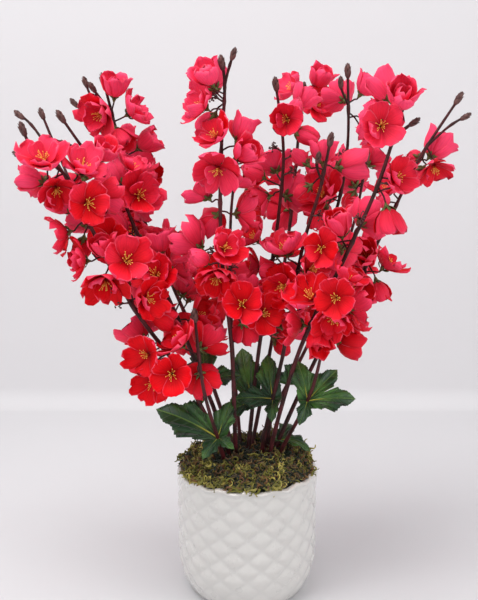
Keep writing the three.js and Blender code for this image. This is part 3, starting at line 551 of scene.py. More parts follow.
# The sprays: each route runs from its bush's stub to the tip of its end bud. A fork has the place on
# the route that it springs from. The clusters of blossoms are a count and the places that they spread
# between.
SPRAYS = [
    {
        "name": "left_outer",
        "bush": "left",
        "route": [
            (-25, -14, 148), (-58, -40, 231), (-105, -52, 304), (-141, -50, 376),
            (-164, -45, 424), (-193, -45, 450), (-204, -45, 474),
        ],
        "forks": [
            (0.8, [(-197, -49, 441), (-211, -51, 447)]),
            (0.71, [(-194, -28, 466), (-213, -24, 482)]),
            (0.64, [(-174, -18, 440), (-193, -6, 484)]),
        ],
        "clusters": (6, 0.35, 0.75),
    },
    {
        "name": "left_middle",
        "bush": "left",
        "route": [
            (-19, -5, 147), (-54, -15, 251), (-81, -15, 318), (-104, -10, 365), (-124, 0, 410),
            (-150, -4, 441), (-177, -10, 482),
        ],
        "forks": [
            (0.86, [(-163, -8, 448), (-177, -10, 453)]),
        ],
        "clusters": (5, 0.35, 0.8),
    },
    {
        "name": "left_back",
        "bush": "left",
        "route": [
            (-15, 10, 143), (-48, 34, 239), (-82, 52, 318), (-109, 55, 384), (-125, 45, 448),
            (-140, 36, 515),
        ],
        "forks": [
            (0.91, [(-143, 35, 492), (-152, 32, 506)]),
            (0.83, [(-150, 52, 486), (-160, 52, 511)]),
            (0.76, [(-148, 64, 460), (-176, 66, 489)]),
        ],
        "clusters": (5, 0.4, 0.9),
    },
    {
        "name": "front_left",
        "bush": "left",
        "route": [
            (-23, -20, 144), (-41, -60, 228), (-50, -48, 304),
        ],
        "forks": [],
        "clusters": (1, 0.8, 0.8),
    },
    {
        "name": "centre_left",
        "bush": "centre",
        "route": [
            (-11, -10, 147), (-15, -32, 258), (-24, -40, 351), (-25, -38, 429), (-21, -35, 502),
            (-25, -35, 532),
        ],
        "forks": [
            (0.84, [(-17, -38, 520), (-11, -42, 538)]),
        ],
        "clusters": (5, 0.4, 0.8),
    },
    {
        "name": "centre",
        "bush": "centre",
        "route": [
            (1, 0, 145), (10, 2, 238), (21, 8, 313), (30, 12, 381), (34, 14, 443),
            (25, 10, 512),
        ],
        "forks": [],
        "clusters": (4, 0.4, 0.9),
    },
    {
        "name": "centre_back",
        "bush": "centre",
        "route": [
            (5, 15, 144), (26, 60, 243), (45, 86, 364), (54, 92, 471), (58, 94, 505),
        ],
        "forks": [],
        "clusters": (3, 0.45, 0.85),
    },
    {
        "name": "back_left",
        "bush": "centre",
        "route": [
            (-7, 20, 146), (-16, 86, 247), (-17, 116, 360), (-7, 124, 443),
        ],
        "forks": [],
        "clusters": (2, 0.6, 0.9),
    },
    {
        "name": "centre_right",
        "bush": "right",
        "route": [
            (15, -5, 147), (35, -15, 253), (51, -22, 353), (67, -24, 412), (77, -22, 463),
        ],
        "forks": [
            (0.82, [(63, -28, 432), (65, -33, 446)]),
        ],
        "clusters": (2, 0.55, 0.85),
    },
    {
        "name": "right_inner",
        "bush": "right",
        "route": [
            (19, 8, 140), (37, 15, 245), (70, 24, 332), (90, 28, 396), (97, 32, 451),
            (95, 32, 524),
        ],
        "forks": [
            (0.91, [(89, 28, 500), (88, 26, 512)]),
        ],
        "clusters": (3, 0.45, 0.9),
    },
    {
        "name": "right_front",
        "bush": "right",
        "route": [
            (23, -12, 150), (49, -38, 260), (87, -55, 350), (115, -62, 419), (134, -60, 483),
            (143, -58, 509),
        ],
        "forks": [
            (0.76, [(136, -66, 468), (149, -72, 478)]),
            (0.84, [(139, -52, 492), (141, -47, 502)]),
        ],
        "clusters": (4, 0.4, 0.8),
    },
    {
        "name": "right_outer",
        "bush": "right",
        "route": [
            (28, 5, 143), (67, 14, 233), (106, 20, 308), (139, 24, 376), (165, 26, 432),
            (206, 30, 497),
        ],
        "forks": [
            (0.87, [(193, 22, 465), (213, 20, 477)]),
        ],
        "clusters": (4, 0.4, 0.85),
    },
    {
        "name": "back_right",
        "bush": "right",
        "route": [
            (15, 18, 149), (72, 86, 247), (112, 116, 349), (128, 124, 434),
        ],
        "forks": [],
        "clusters": (2, 0.65, 0.9),
    },
    {
        "name": "front_right",
        "bush": "right",
        "route": [
            (33, -8, 146), (62, -46, 228), (76, -70, 330),
        ],
        "forks": [],
        "clusters": (1, 0.95, 0.95),
    },
]

# Where a tuft of spent threads stays on a stem: spray, place, and turn round the stem in degrees from
# its left side as seen from the front.
TUFTS = [
    ("left_back", 0.76, 150), ("left_back", 0.7, 180), ("left_outer", 0.65, 120),
    ("left_outer", 0.47, 60), ("left_outer", 0.44, 30), ("centre_left", 0.8, 20),
    ("centre_left", 0.5, 10), ("centre_left", 0.47, 150), ("centre", 0.83, 20), ("centre", 0.77, 150),
    ("centre", 0.81, 165), ("centre", 0.49, 90), ("centre_right", 0.7, 130), ("centre_right", 0.44, 100),
    ("right_inner", 0.78, 60), ("right_front", 0.67, 150), ("right_front", 0.58, 60),
    ("right_outer", 0.58, 150),
]


def with_ends(route):
    """The route's points with one more past each end, for the curve to leave and arrive by."""
    route = [np.array(point, dtype=float) for point in route]
    return np.array([2 * route[0] - route[1], *route, 2 * route[-1] - route[-2]])


def point_on(route, place):
    """A point on the smooth curve through the route, where place is 0 at its foot and 1 at its tip."""
    pieces = len(route) - 3
    number = min(int(place * pieces), pieces - 1)
    along = place * pieces - number
    before, start, end, after = route[number : number + 4]
    leave, arrive = (end - before) / 2, (after - start) / 2
    return (
        start + leave * along + (3 * (end - start) - 2 * leave - arrive) * along**2
        + (2 * (start - end) + leave + arrive) * along**3
    )


def heading_on(route, place):
    ahead = point_on(route, min(place + 0.0001, 1)) - point_on(route, max(place - 0.0001, 0))
    return ahead / np.linalg.norm(ahead)


def unit(vector):
    return vector / np.linalg.norm(vector)


def turn_to(level, heading):
    """The 3x3 turn that takes +X to the level way and +Z to the heading."""
    return np.stack([level, np.cross(heading, level), heading], axis=1)


def stem_radius(place):
    return STEM_RADIUS + (TWIG_RADIUS - STEM_RADIUS) * place


def pick(model):
    """Only this model is picked, so the operators act on it alone."""
    pick_nothing()
    bpy.context.view_layer.objects.active = model
    model.select_set(True)


def thickened(model, sheet):
    """Gives a flat shape its thickness, half of it to each side."""
    pick(model)
    thicken = model.modifiers.new("Sheet", "SOLIDIFY")
    thicken.thickness = sheet
    thicken.offset = 0
    bpy.ops.object.modifier_apply(modifier=thicken.name)


for spray in SPRAYS:
    x, y = BUSHES[spray["bush"]]
    spray["curve"] = with_ends([(x, y, STUB_TOP - 4), *spray["route"]])
    spray["fork_curves"] = [
        with_ends([point_on(spray["curve"], place), *route]) for place, route in spray["forks"]
    ]
curve_of = {spray["name"]: spray["curve"] for spray in SPRAYS}


def bark_sweep(curve, radius_at, sides, step, knots):
    """The stem up to the middle of its end bud, a little uneven and thicker at its knots."""
    length = sum(
        np.linalg.norm(point_on(curve, (i + 1) / 60) - point_on(curve, i / 60)) for i in range(60)
    )
    places = np.linspace(0, 1 - 0.6 * BUD_LENGTH / length, max(5, round(length / step)))
    path = [point_on(curve, place) for place in places]
    radii = []
    for place, point in zip(places, path):
        uneven = 1 + 0.09 * noise.noise(point / 9)
        swelling = sum(0.35 * math.exp(-(((place - knot) * length / 3.2) ** 2)) for knot in knots)
        radii.append(radius_at(place) * (uneven + swelling))
    return sweep(path, radii, sides)


# A winter bud 1 long: a spindle under overlapping scales that stand off at their tips.
bud_core = turned("bud_core", 8, [
    (90, 0), (150, 120), (185, 300), (165, 520), (110, 760), (40, 950),
])
bud_core_shape = shape_of(bud_core)
bud_core_shape["points"] /= 1000

pick_nothing()
bpy.ops.mesh.primitive_grid_add(x_subdivisions=3, y_subdivisions=3, size=2, location=(0, 0, 0))
scale = bpy.context.object
points = points_of(scale) * MM
across, along = points[:, 0].copy(), (points[:, 1] + 1) / 2
width = 0.115 * np.sin(math.pi * (0.22 + 0.74 * along)) ** 0.8
points[:, 0] = width * across
points[:, 1] = 0.02 + 0.05 * along**1.5 - 0.05 * across**2 * (1 - along)
points[:, 2] = 0.34 * along
move_points(scale, points / MM)
thickened(scale, BUD_SCALE_SHEET)
bud_scale_shape = shape_of(scale)
bud_scale_shape["points"] *= MM


def bud_parts(base, heading, length, width):
    """A bud's core and its scales, which climb it in a spiral."""
    turn = turn_to(unit(np.cross(heading, (0.4, 1, 0.2))), heading)
    stretch = np.diag([width, width, 1]) * length
    parts = [(bud_core_shape, turn @ stretch, base, 1, 0.3)]
    for number in range(BUD_SCALES):
        height = 0.04 + 0.68 * number / (BUD_SCALES - 1)
        out = np.interp(height, [0, 0.3, 0.52, 0.76], [0.13, 0.185, 0.165, 0.11])
        slim = np.interp(height, [0, 0.3, 0.8], [1.0, 1.15, 0.62])
        spin = turn_about((0, 0, 1), GOLDEN_ANGLE * number)
        lean = turn_about((1, 0, 0), np.interp(height, [0, 0.5, 0.8], [-4, 8, 16]))
        local = spin @ (lean * slim)
        place = base + turn @ stretch @ (spin @ np.array([0, out - 0.02, height]))
        parts.append((bud_scale_shape, turn @ stretch @ local, place, 1, chance.uniform(0.2, 1)))
    return parts


def joined(shapes):
    counts = np.cumsum([0] + [len(shape["points"]) for shape in shapes])
    return {
        "points": np.concatenate([shape["points"] for shape in shapes]),
        "corners": np.concatenate([shape["corners"] + n for shape, n in zip(shapes, counts)]),
        "sizes": np.concatenate([shape["sizes"] for shape in shapes]),
        "uv": np.concatenate([shape["uv"] for shape in shapes]),
    }


pick_nothing()
bpy.ops.mesh.primitive_ico_sphere_add(subdivisions=1, radius=1, location=(0, 0, 0))
bead = shape_of(bpy.context.object)
bead["points"] *= MM


def spent_tuft():
    """What a fallen blossom leaves: a short stalk and hooked threads with a bead on each, as on +Z."""
    shapes = [sweep([(0, 0, -1), (0.3, 0, 2), (0, 0.2, 4)], [0.9, 0.7, 0.6], 5)]
    for number in range(TUFT_THREADS):
        way = GOLDEN_ANGLE * number + chance.uniform(-15, 15)
        out = turn_about((0, 0, 1), way) @ (1, 0, 0)
        reach, rise = chance.uniform(2.2, 4.5), chance.uniform(3.5, 7.5)
        path = [
            np.array([0, 0, 3.2]), out * 0.35 * reach + (0, 0, 3.6 + 0.6 * rise),
            out * 0.8 * reach + (0, 0, 3.4 + rise), out * 1.2 * reach + (0, 0, 2.4 + rise),
        ]
        shapes.append(sweep(path, [0.42, 0.38, 0.34, 0.3], 3))
        shapes.append(dict(bead, points=bead["points"] * 0.75 + path[-1]))
    return joined(shapes)


spent_tufts = [spent_tuft() for _ in range(TUFT_SHAPES)]


def add_streaks(nodes, links, across, along, contrast):
    """The unevenness drawn out along a strand or a petal: how many patches across and along it."""
    stretched = nodes.new("ShaderNodeMapping")
    stretched.inputs["Scale"].default_value = (across, along, 1)
    links.new(nodes.new("ShaderNodeUVMap").outputs["UV"], stretched.inputs["Vector"])
    return add_unevenness(nodes, links, 1, contrast, stretched.outputs["Vector"])


bark, nodes, links, shader = new_finish(
    "wrapped bark", {"Roughness": 0.5, "Specular IOR Level": 0.3}
)
uneven = add_unevenness(nodes, links, 85, 0.7)
streaks = add_streaks(nodes, links, 9, 0.12, 1.2)
colour = blended(
    nodes, links, rising(nodes, links, uneven.outputs["Height"], 0.35, 0.65), BARK_BROWN, BARK_MAROON
)
# Painted sheen: lighter streaks along the stems.
painted_sheen_share = rising(nodes, links, streaks.outputs["Height"], 0.55, 0.8, most=0.6)
colour = blended(nodes, links, painted_sheen_share, colour, BARK_PAINTED_SHEEN)
links.new(colour, shader.inputs["Base Color"])
raised(nodes, links, shader, streaks.outputs["Height"], 0.0008, 0.7)

bud_skin, nodes, links, shader = new_finish("bud scales", {"Roughness": 0.55})
uneven = add_unevenness(nodes, links, 500, 0.6)
colour = blended(nodes, links, marked(nodes, "tone"), BUD_BROWN, BUD_EDGE)
coloured(nodes, links, shader, colour, uneven)
raised(nodes, links, shader, uneven.outputs["Height"], 0.0006, 0.5)

for bush, (x, y) in BUSHES.items():
    stub = turned(f"stub_{bush}", 16, [
        (STUB_RADIUS * 0.8, STUB_BOTTOM), (STUB_RADIUS * 0.9, STUB_BOTTOM + 20),
        (STUB_RADIUS, STUB_TOP - 1), (STUB_RADIUS - 1, STUB_TOP),
    ])
    parts = [(shape_of(stub), np.eye(3), (x, y, 0), 0, 0.5)]
    for spray in [spray for spray in SPRAYS if spray["bush"] == bush]:
        count, first, last = spray["clusters"]
        knots = [*np.linspace(first, last, count), *[place for place, _ in spray["forks"]]]
        parts.append(in_place(bark_sweep(spray["curve"], stem_radius, 10, 4, knots)))
        twigs = [(spray["curve"], 1)]
        for curve in spray["fork_curves"]:
            parts.append(in_place(bark_sweep(curve, lambda place: FORK_RADIUS, 8, 4, [0, 0.55])))
            twigs.append((curve, FORK_BUD))
        for curve, size in twigs:
            heading = heading_on(curve, 0.98)
            base = point_on(curve, 1) - heading * BUD_LENGTH * size
            parts += bud_parts(base, heading, BUD_LENGTH * size, BUD_RADIUS / (0.2 * BUD_LENGTH))
    for name, at, degrees in TUFTS:
        if name in [spray["name"] for spray in SPRAYS if spray["bush"] == bush]:
            heading = heading_on(curve_of[name], at)
            side = unit(np.cross(heading, (0, 1, 0)))
            away = turn_about(heading, degrees) @ side
            way = turn_about(np.cross(heading, away), TUFT_TILT) @ heading
            turn = turn_to(unit(np.cross(away, way)), way)
            place = point_on(curve_of[name], at) + away * 0.8 * stem_radius(at)
            shape = spent_tufts[chance.integers(TUFT_SHAPES)]
            parts.append((shape, turn * TUFT_SIZE, place, 1, chance.uniform(0, 0.4)))
    stems = lay_out(f"bush_{bush}", [bark, bud_skin], parts)
    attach(stems, "root")
    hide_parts(f"stems_{bush}")


# ---- Leaves ----
# Lobed leaves pressed from dark green silk, each one blade whose toothed arms spread from a hole that
# is pushed over the stem. The moulded veins are dyed yellow near the middle.
LEAF_WEB = 9
LEAF_SHEET = 0.8
# How far an arm arches up between its ends and its sides fold up, as shares of length and breadth.
LEAF_ARCH = 0.16
LEAF_FOLD = 0.22
LEAF_WAVE = 0.9
# How much of the room up to the line midway between two arms their teeth fill at most.
LEAF_ROOM = 0.85
WIDE_TURN = 80
# Half of an arm's outline from root to tip: how far along and how far out, as shares of its length.
LEAF_OUTLINE = [
    (0.28, 0.22), (0.41, 0.19), (0.54, 0.29), (0.69, 0.17), (0.82, 0.15), (1, 0),
]
LEAF_STEPS = 6
# The fine teeth along the whole edge, as a share of how far out it is.
LEAF_SAW = 0.07
LEAF_ROWS = [0, 0.14, 0.28, 0.42, 0.56, 0.7, 0.83, 0.93, 1]
LEAF_DARK = (0.010, 0.050, 0.012)
LEAF_LIGHT = (0.065, 0.17, 0.022)
LEAF_VEIN = (0.10, 0.20, 0.035)
LEAF_HEART = (0.60, 0.55, 0.06)

# For each leaf: its spray, its place on the route, the way that its upper face looks, and its arms:
# turn round that way from +X, rise towards it, and length.
LEAVES = [
    ("front_left", 0.45, (0, -0.8, 0.6), [(156, 6, 66), (70, 10, 38), (237, 8, 27), (323, 8, 20)]),
    ("left_middle", 0.24, (0, -0.66, 0.75), [(174, 8, 44), (92, 2, 44), (10, 6, 38), (262, 4, 26)]),
    ("centre_right", 0.31, (-0.1, -0.86, 0.5), [(180, 6, 38), (96, 8, 44), (268, 6, 24)]),
    ("front_right", 0.6, (0.08, -0.84, 0.54),
     [(2, 6, 46), (46, 8, 42), (104, 6, 40), (250, 6, 26)]),
    ("centre", 0.26, (-0.2, -0.8, 0.56), [(100, 6, 56), (205, 8, 34)]),
    ("right_outer", 0.19, (0.3, -0.3, 0.9), [(-24, 10, 34), (64, 10, 28)]),
    ("back_right", 0.38, (0.1, 0.6, 0.79), [(40, 10, 50), (120, 10, 48), (-70, 10, 42)]),
]


def arm_ways(facing, turn, rise):
    """An arm's way out along its middle vein, and its way across."""
    level = unit(np.array([1, 0, 0]) - facing * facing[0])
    heading = turn_about(facing, turn) @ level
    tilt = math.radians(rise)
    return heading * math.cos(tilt) + facing * math.sin(tilt), np.cross(facing, heading)


def leaf_lift(share, out):
    return LEAF_ARCH * math.sin(math.pi * share) + LEAF_FOLD * abs(out)


def leaf_edge():
    """The half outline from the web, with rounded teeth, as (web share, along, out) steps."""
    steps = [(1 - i / LEAF_STEPS, *(np.array(LEAF_OUTLINE[0]) * i / LEAF_STEPS))
             for i in range(LEAF_STEPS)]
    curve = with_ends([(along, out, 0) for along, out in LEAF_OUTLINE])
    count = LEAF_STEPS * (len(LEAF_OUTLINE) - 1)
    for i in range(count + 1):
        share, out, _ = point_on(curve, i / count)
        steps.append((0, share, out * (1 + LEAF_SAW * (-1) ** i)))
    return steps


def leaf_blade(spray, at, facing, arms):
    """The blade as one sheet: rows of points from the middle out to the toothed edge."""
    centre = point_on(curve_of[spray], at)
    facing = unit(np.array(facing, dtype=float))
    arms = sorted(arms)
    edge, rows, uv = leaf_edge(), [], []
    for index, (turn, rise, length) in enumerate(arms):
        along, side = arm_ways(facing, turn, rise)
        over = np.cross(along, side)
        for way in (-1, 1):
            other = arms[(index + way) % len(arms)][0]
            if (other - turn) * way <= 0:
                other += 360 * way
            web = centre + LEAF_WEB * arm_ways(facing, (turn + other) / 2, 0)[0]
            room = LEAF_ROOM * math.tan(math.radians(min(abs(other - turn) / 2, WIDE_TURN)))
            first = np.array([LEAF_OUTLINE[0][0], min(LEAF_OUTLINE[0][1], room * LEAF_OUTLINE[0][0])])
            half = []
            for web_share, share, out in edge:
                out = min(out, room * share)
                lift = leaf_lift(share, out)
                tooth = centre + length * (share * along + way * out * side + lift * over)
                if web_share:
                    lift = leaf_lift(*first)
                    tooth = centre + length * (
                        first[0] * along + way * first[1] * side + lift * over)
                    tooth = tooth + web_share * (web - tooth)
                    lift = lift * (1 - web_share)
                    share, out = first * (1 - web_share)
                wave = LEAF_WAVE * math.sin(21 * share + 3 * index + way) * (share > 0.1)
                row = [
                    centre + reach * (tooth - centre)
                    + over * (length * (leaf_lift(reach * share, reach * out) - reach * lift)
                              + wave * reach**3)
                    for reach in LEAF_ROWS[1:]
                ]
                out_from_vein, out_from_heart = out + 0.12 * web_share, share + 0.1 * web_share
                half.append((row, [(0.5 + way * reach * out_from_vein, reach * out_from_heart)
                                   for reach in LEAF_ROWS[1:]]))
            # Each half leaves out its last column, which the next half starts with.
            half = half[::-1] if way > 0 else half
            rows += [row for row, _ in half[:-1]]
            uv += [place for _, place in half[:-1]]
    columns, depth = len(rows), len(LEAF_ROWS) - 1
    points = np.concatenate([[centre], np.array(rows).reshape(-1, 3)])
    faces, face_uv = [], []
    for column in range(columns):
        here, there = 1 + column * depth, 1 + (column + 1) % columns * depth
        uv_here, uv_there = uv[column], uv[(column + 1) % columns]
        faces.append((0, here, there))
        face_uv += [(0.5, 0), uv_here[0], uv_there[0]]
        for row in range(depth - 1):
            faces.append((here + row, here + row + 1, there + row + 1, there + row))
            face_uv += [uv_here[row], uv_here[row + 1], uv_there[row + 1], uv_there[row]]
    return {
        "points": points,
        "corners": np.concatenate(faces),
        "sizes": np.array([len(face) for face in faces]),
        "uv": np.array(face_uv),
    }


leaf_skin, nodes, links, shader = new_finish(
    "green silk", {"Roughness": 0.42, "Sheen Weight": 0.1, "Sheen Roughness": 0.4}
)
uneven = add_unevenness(nodes, links, 38, 0.35)


def on_surface(nodes, links):
    """Where a point lies across and along the piece's own sheet, as its X and Y outputs."""
    surface = nodes.new("ShaderNodeSeparateXYZ")
    links.new(nodes.new("ShaderNodeUVMap").outputs["UV"], surface.inputs[0])
    return surface.outputs


def reckoned(nodes, links, how, first, second, third=None):
    sum_node = nodes.new("ShaderNodeMath")
    sum_node.operation = how
    for socket, value in zip(sum_node.inputs, (first, second, third)):
        if isinstance(value, bpy.types.NodeSocket):
            links.new(value, socket)
        elif value is not None:
            socket.default_value = value
    return sum_node.outputs[0]


surface = on_surface(nodes, links)
from_middle = reckoned(nodes, links, "SUBTRACT", surface["X"], 0.5)
from_middle = reckoned(nodes, links, "ABSOLUTE", from_middle, None)
middle_vein = rising(nodes, links, from_middle, 0.004, 0.02, least=1, most=0)
climb = reckoned(nodes, links, "MULTIPLY_ADD", from_middle, -0.9, surface["Y"])
ribs = reckoned(nodes, links, "PINGPONG", climb, 0.075)
side_veins = rising(nodes, links, ribs, 0.003, 0.013, least=1, most=0)
heart = rising(nodes, links, surface["Y"], 0.1, 0.42, least=1, most=0)
colour = blended(
    nodes, links, rising(nodes, links, uneven.outputs["Height"], 0.42, 0.68), LEAF_DARK, LEAF_LIGHT
)
vein_colour = blended(nodes, links, heart, LEAF_VEIN, LEAF_HEART)
side_share = reckoned(nodes, links, "MULTIPLY", side_veins, 0.25)
colour = blended(nodes, links, side_share, colour, LEAF_VEIN)
colour = blended(nodes, links, middle_vein, colour, vein_colour)
coloured(nodes, links, shader, colour, uneven)
veins = reckoned(nodes, links, "MAXIMUM", side_veins, middle_vein)
raised(nodes, links, shader, veins, -0.0007, 0.9)

for number, (spray, at, facing, arms) in enumerate(LEAVES, 1):
    blade = leaf_blade(spray, at, facing, arms)
    leaf = lay_out(f"lobed_leaf_{number}", [leaf_skin], [in_place(blade)])
    thickened(leaf, LEAF_SHEET * MM)
    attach(leaf, "root")
    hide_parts(f"leaf_{number}")


# ---- Blossoms ----
# Clusters of four silk cherry blossoms whose wired stalks spring from the stem. Their petals are pressed
# and dyed crimson round yellow stamens, over a small green calyx. The petals are painted darker at the
# base as shade in the bowl, pinker towards the tips and on high, upward-facing blossoms as painted
# light, and paler along the rims as a painted highlight.
SPUR_RADIUS = 3
SPUR_CLEARANCE = 0.9
STALK_SPACING = 14
CLUSTER_BLOSSOMS = 4
STALK_SHORTEST = 12
STALK_LONGEST = 19
STALK_RADIUS = 0.75
# The longest stalk of a blossom that looks out, as a share of the longest one of the others.
STALK_STRETCH = 1.4
# Degrees: how far stalks lean from the way out of the stem, and how unevenly they stand around.
LEAN_LEAST = 42
LEAN_MOST = 66
LEAN_TURN = 60
CALYX_DROP = 2.4
PETALS = 5
HEART_PETALS = 3
BLOSSOM_SMALLEST = 18
BLOSSOM_LARGEST = 23.5
# Shares of the blossoms that are wide open, and that aren't closed, at a spray's foot and top.
OPEN_SHARES = (0.68, 0.4)
NOT_CLOSED_SHARES = (0.95, 0.72)
# Each form's clearance, and how far its middle lies above its base, as shares of its radius.
BULK = {"open": 0.78, "half_open": 0.68, "closed": 0.5}
MIDDLE_LIFT = {"open": 0.24, "half_open": 0.5, "closed": 0.45}
# How much the stalk, the light from above and its own sway turn a blossom.
STALK_PULL = 0.25
LIFT_TO_LIGHT = 0.3
SWAY = 0.5
STALK_CLEARANCE = 2.5
BUD_CLEARANCE = 3.1
FIRST_SEED = 1
# How crowded blossoms settle: the share of an overlap that each pass takes away.
SETTLING_PASSES = 120
BLOSSOM_PUSH = 0.3
WOOD_PUSH = 0.4
STALK_PUSH = 0.8
# The place along a stalk that keeps clear, the least share of a stalk that leads away from its
# stem and the push that restores it, and how far the blossoms that look out give way.
WAIST_PLACE = 0.6
LEAST_OUTWARD = 0.3
OUTWARD_PUSH = 0.5
LOOKING_OUT_SHARE = 0.2
# An arm of a leaf keeps blossoms off round these places on it, by this share of its length.
ARM_PLACES = (0.45, 0.85)
ARM_BULK = 0.24
FRONT_FACING = np.array([0, -0.95, 0.32])
# A petal's thickness, as a share of the blossom's radius, and how far its nod varies in degrees.
PETAL_SHEET = 0.022
PETAL_GRID = 4
PETAL_NOD = 5
# What is added to the surface's X on the back of the petals, so that it can take its own colour.
BACK_OF_SHEET = 2
STAMENS = 12
STAMEN_SHAPES = 4
DRESSING_SEED = 23
# The deepest petal colour is painted shade at the petals' bases, deep in each bowl.
PETAL_BASE_SHADE = (0.46, 0.000, 0.004)
PETAL_RED = (0.80, 0.001, 0.008)
# The pink is mixed in partly as painted light, on the tips and on high, upward-facing blossoms.
PETAL_PINK = (0.96, 0.058, 0.155)
# The pale rim colour is a painted highlight along the petals' edges.
PETAL_RIM_HIGHLIGHT = (0.95, 0.12, 0.20)
STAMEN_FOOT = (0.75, 0.16, 0.02)
STAMEN_GOLD = (0.95, 0.60, 0.10)
CALYX_GREEN = (0.085, 0.15, 0.025)
CALYX_RED = (0.13, 0.020, 0.014)

# Wide open blossoms that look straight out of the front: spray, place and radius.
FRONT_BLOSSOMS = [
    ("right_front", (112, -84, 472), 20),
    ("left_middle", (-92, -42, 388), 21),
    ("left_outer", (-114, -78, 352), 22),
    ("left_outer", (-70, -66, 243), 20),
    ("front_left", (-30, -94, 258), 20),
    ("centre_left", (-42, -58, 300), 20),
    ("centre_left", (-4, -60, 306), 20),
    ("front_right", (66, -92, 322), 19),
    ("right_front", (86, -80, 356), 18),
    ("centre", (25, -12, 472), 17),
    ("right_inner", (94, 4, 448), 18),
]


def seeded(seed):
    """Repeatable random numbers from 0 to 1, the same ones that the solids are placed by."""
    state = seed

    def draw():
        nonlocal state
        state = (state + 0x6D2B79F5) & 0xFFFFFFFF
        mixed = ((state ^ (state >> 15)) * (state | 1)) & 0xFFFFFFFF
        mixed = ((mixed + (mixed ^ (mixed >> 7)) * (mixed | 61)) ^ mixed) & 0xFFFFFFFF
        return (mixed ^ (mixed >> 14)) / 2**32

    return draw


def between(low, high, share):
    return low + (high - low) * share


def form_of(opening, rank):
    """Wide open, half open or closed, where rank is 0 at the spray's foot and 1 at its top."""
    if opening > between(*NOT_CLOSED_SHARES, rank):
        return "closed"
    return "open" if opening < between(*OPEN_SHARES, rank) else "half_open"


# Every cluster has its spur beside the stem, and its blossoms stand out from it to all sides.
blossoms = []
for spray in SPRAYS:
    count, first, last = spray["clusters"]
    for index in range(count):
        rank = index / (count - 1) if count > 1 else 0
        at = between(first, last, rank)
        tangent = heading_on(spray["curve"], at)
        side = unit(np.cross(tangent, (0, 1, 0)))
        out = unit(np.cross(side, tangent))
        planted = len(blossoms) // CLUSTER_BLOSSOMS
        turn = math.radians(GOLDEN_ANGLE * planted)
        away = side * math.cos(turn) + out * math.sin(turn)
        sideways = np.cross(away, tangent)
        on_stem = point_on(spray["curve"], at)
        spur = on_stem + away * (stem_radius(at) + SPUR_CLEARANCE + SPUR_RADIUS)
        draw = seeded(FIRST_SEED + planted)
        for number in range(CLUSTER_BLOSSOMS):
            root = spur + tangent * STALK_SPACING * (number / (CLUSTER_BLOSSOMS - 1) - 0.5)
            around = math.radians(GOLDEN_ANGLE * number + LEAN_TURN * draw())
            tilt = math.radians(between(LEAN_LEAST, LEAN_MOST, draw()))
            direction = away * math.cos(tilt) + math.sin(tilt) * (
                tangent * math.cos(around) + sideways * math.sin(around)
            )
            # The draws keep this order: stalk, size, form, roll and sway.
            blossoms.append({
                "cluster": f"{spray['name']}_{index + 1}", "spray": spray["name"], "spur": spur,
                "away": away, "root": root, "direction": direction, "front": False,
                "stalk": between(STALK_SHORTEST, STALK_LONGEST, draw()),
                "size": between(BLOSSOM_SMALLEST, BLOSSOM_LARGEST, draw()),
                "form": form_of(draw(), rank),
                "roll": 360 / PETALS * draw(),
                "sway": np.array([draw() - 0.5, draw() - 0.5, draw() - 0.5]),
            })

# The nearest spur on the spray gives one of its blossoms to each blossom that looks out.
for spray_name, target, size in FRONT_BLOSSOMS:
    near = min(
        (one for one in blossoms if one["spray"] == spray_name),
        key=lambda one: np.linalg.norm(one["spur"] - target),
    )
    chosen = max(
        (one for one in blossoms if one["cluster"] == near["cluster"] and not one["front"]),
        key=lambda one: one["direction"] @ (np.array(target) - near["spur"]),
    )
    reach = np.array(target) - chosen["root"]
    stalk = np.clip(np.linalg.norm(reach), STALK_SHORTEST, STALK_STRETCH * STALK_LONGEST)
    chosen.update(direction=unit(reach), stalk=stalk, size=size, form="open", front=True)

# Blossoms and stalks that crowd each other, a stem or a leaf swing apart about the stalks' roots.
roots, directions, aways, sways = (
    np.array([one[key] for one in blossoms]) for key in ("root", "direction", "away", "sway")
)
stalks, sizes = (np.array([one[key] for one in blossoms])[:, None] for key in ("stalk", "size"))
front = np.array([one["front"] for one in blossoms])[:, None]
bulks = sizes * np.array([[BULK[one["form"]]] for one in blossoms])
lifts = sizes * np.array([[MIDDLE_LIFT[one["form"]]] for one in blossoms])
cluster_names = [one["cluster"] for one in blossoms]
strangers = np.array([[one != other for other in cluster_names] for one in cluster_names])
wood = []
for spray in SPRAYS:
    for curve, steps, radius_at in [(spray["curve"], 12, stem_radius)] + [
        (curve, 2, lambda place: BUD_CLEARANCE) for curve in spray["fork_curves"]
    ]:
        wood += [
            (point_on(curve, step / steps), point_on(curve, (step + 1) / steps),
             radius_at((step + 0.5) / steps)) for step in range(steps)
        ]
for spray_name, at, facing, arms in LEAVES:
    for turn, rise, length in arms:
        along, _ = arm_ways(unit(np.array(facing, dtype=float)), turn, rise)
        for share in ARM_PLACES:
            middle = point_on(curve_of[spray_name], at) + along * share * length
            wood.append((middle, middle, ARM_BULK * length))
wood_start = np.array([start for start, _, _ in wood])
wood_run = np.array([end - start for start, end, _ in wood])
wood_radius = np.array([radius for _, _, radius in wood])
wood_length = np.maximum(np.sum(wood_run**2, axis=1), 1e-12)


def faced(directions):
    """Where each blossom's stalk ends, the way that it faces, its middle, and its stalk's waist."""
    looking_out = directions * STALK_PULL + FRONT_FACING
    facing = np.where(front, looking_out, directions + (0, 0, LIFT_TO_LIGHT)) + SWAY * sways
    facing /= np.linalg.norm(facing, axis=1)[:, None]
    bases = roots + directions * stalks
    return bases, facing, bases + facing * lifts, roots + WAIST_PLACE * (bases - roots)


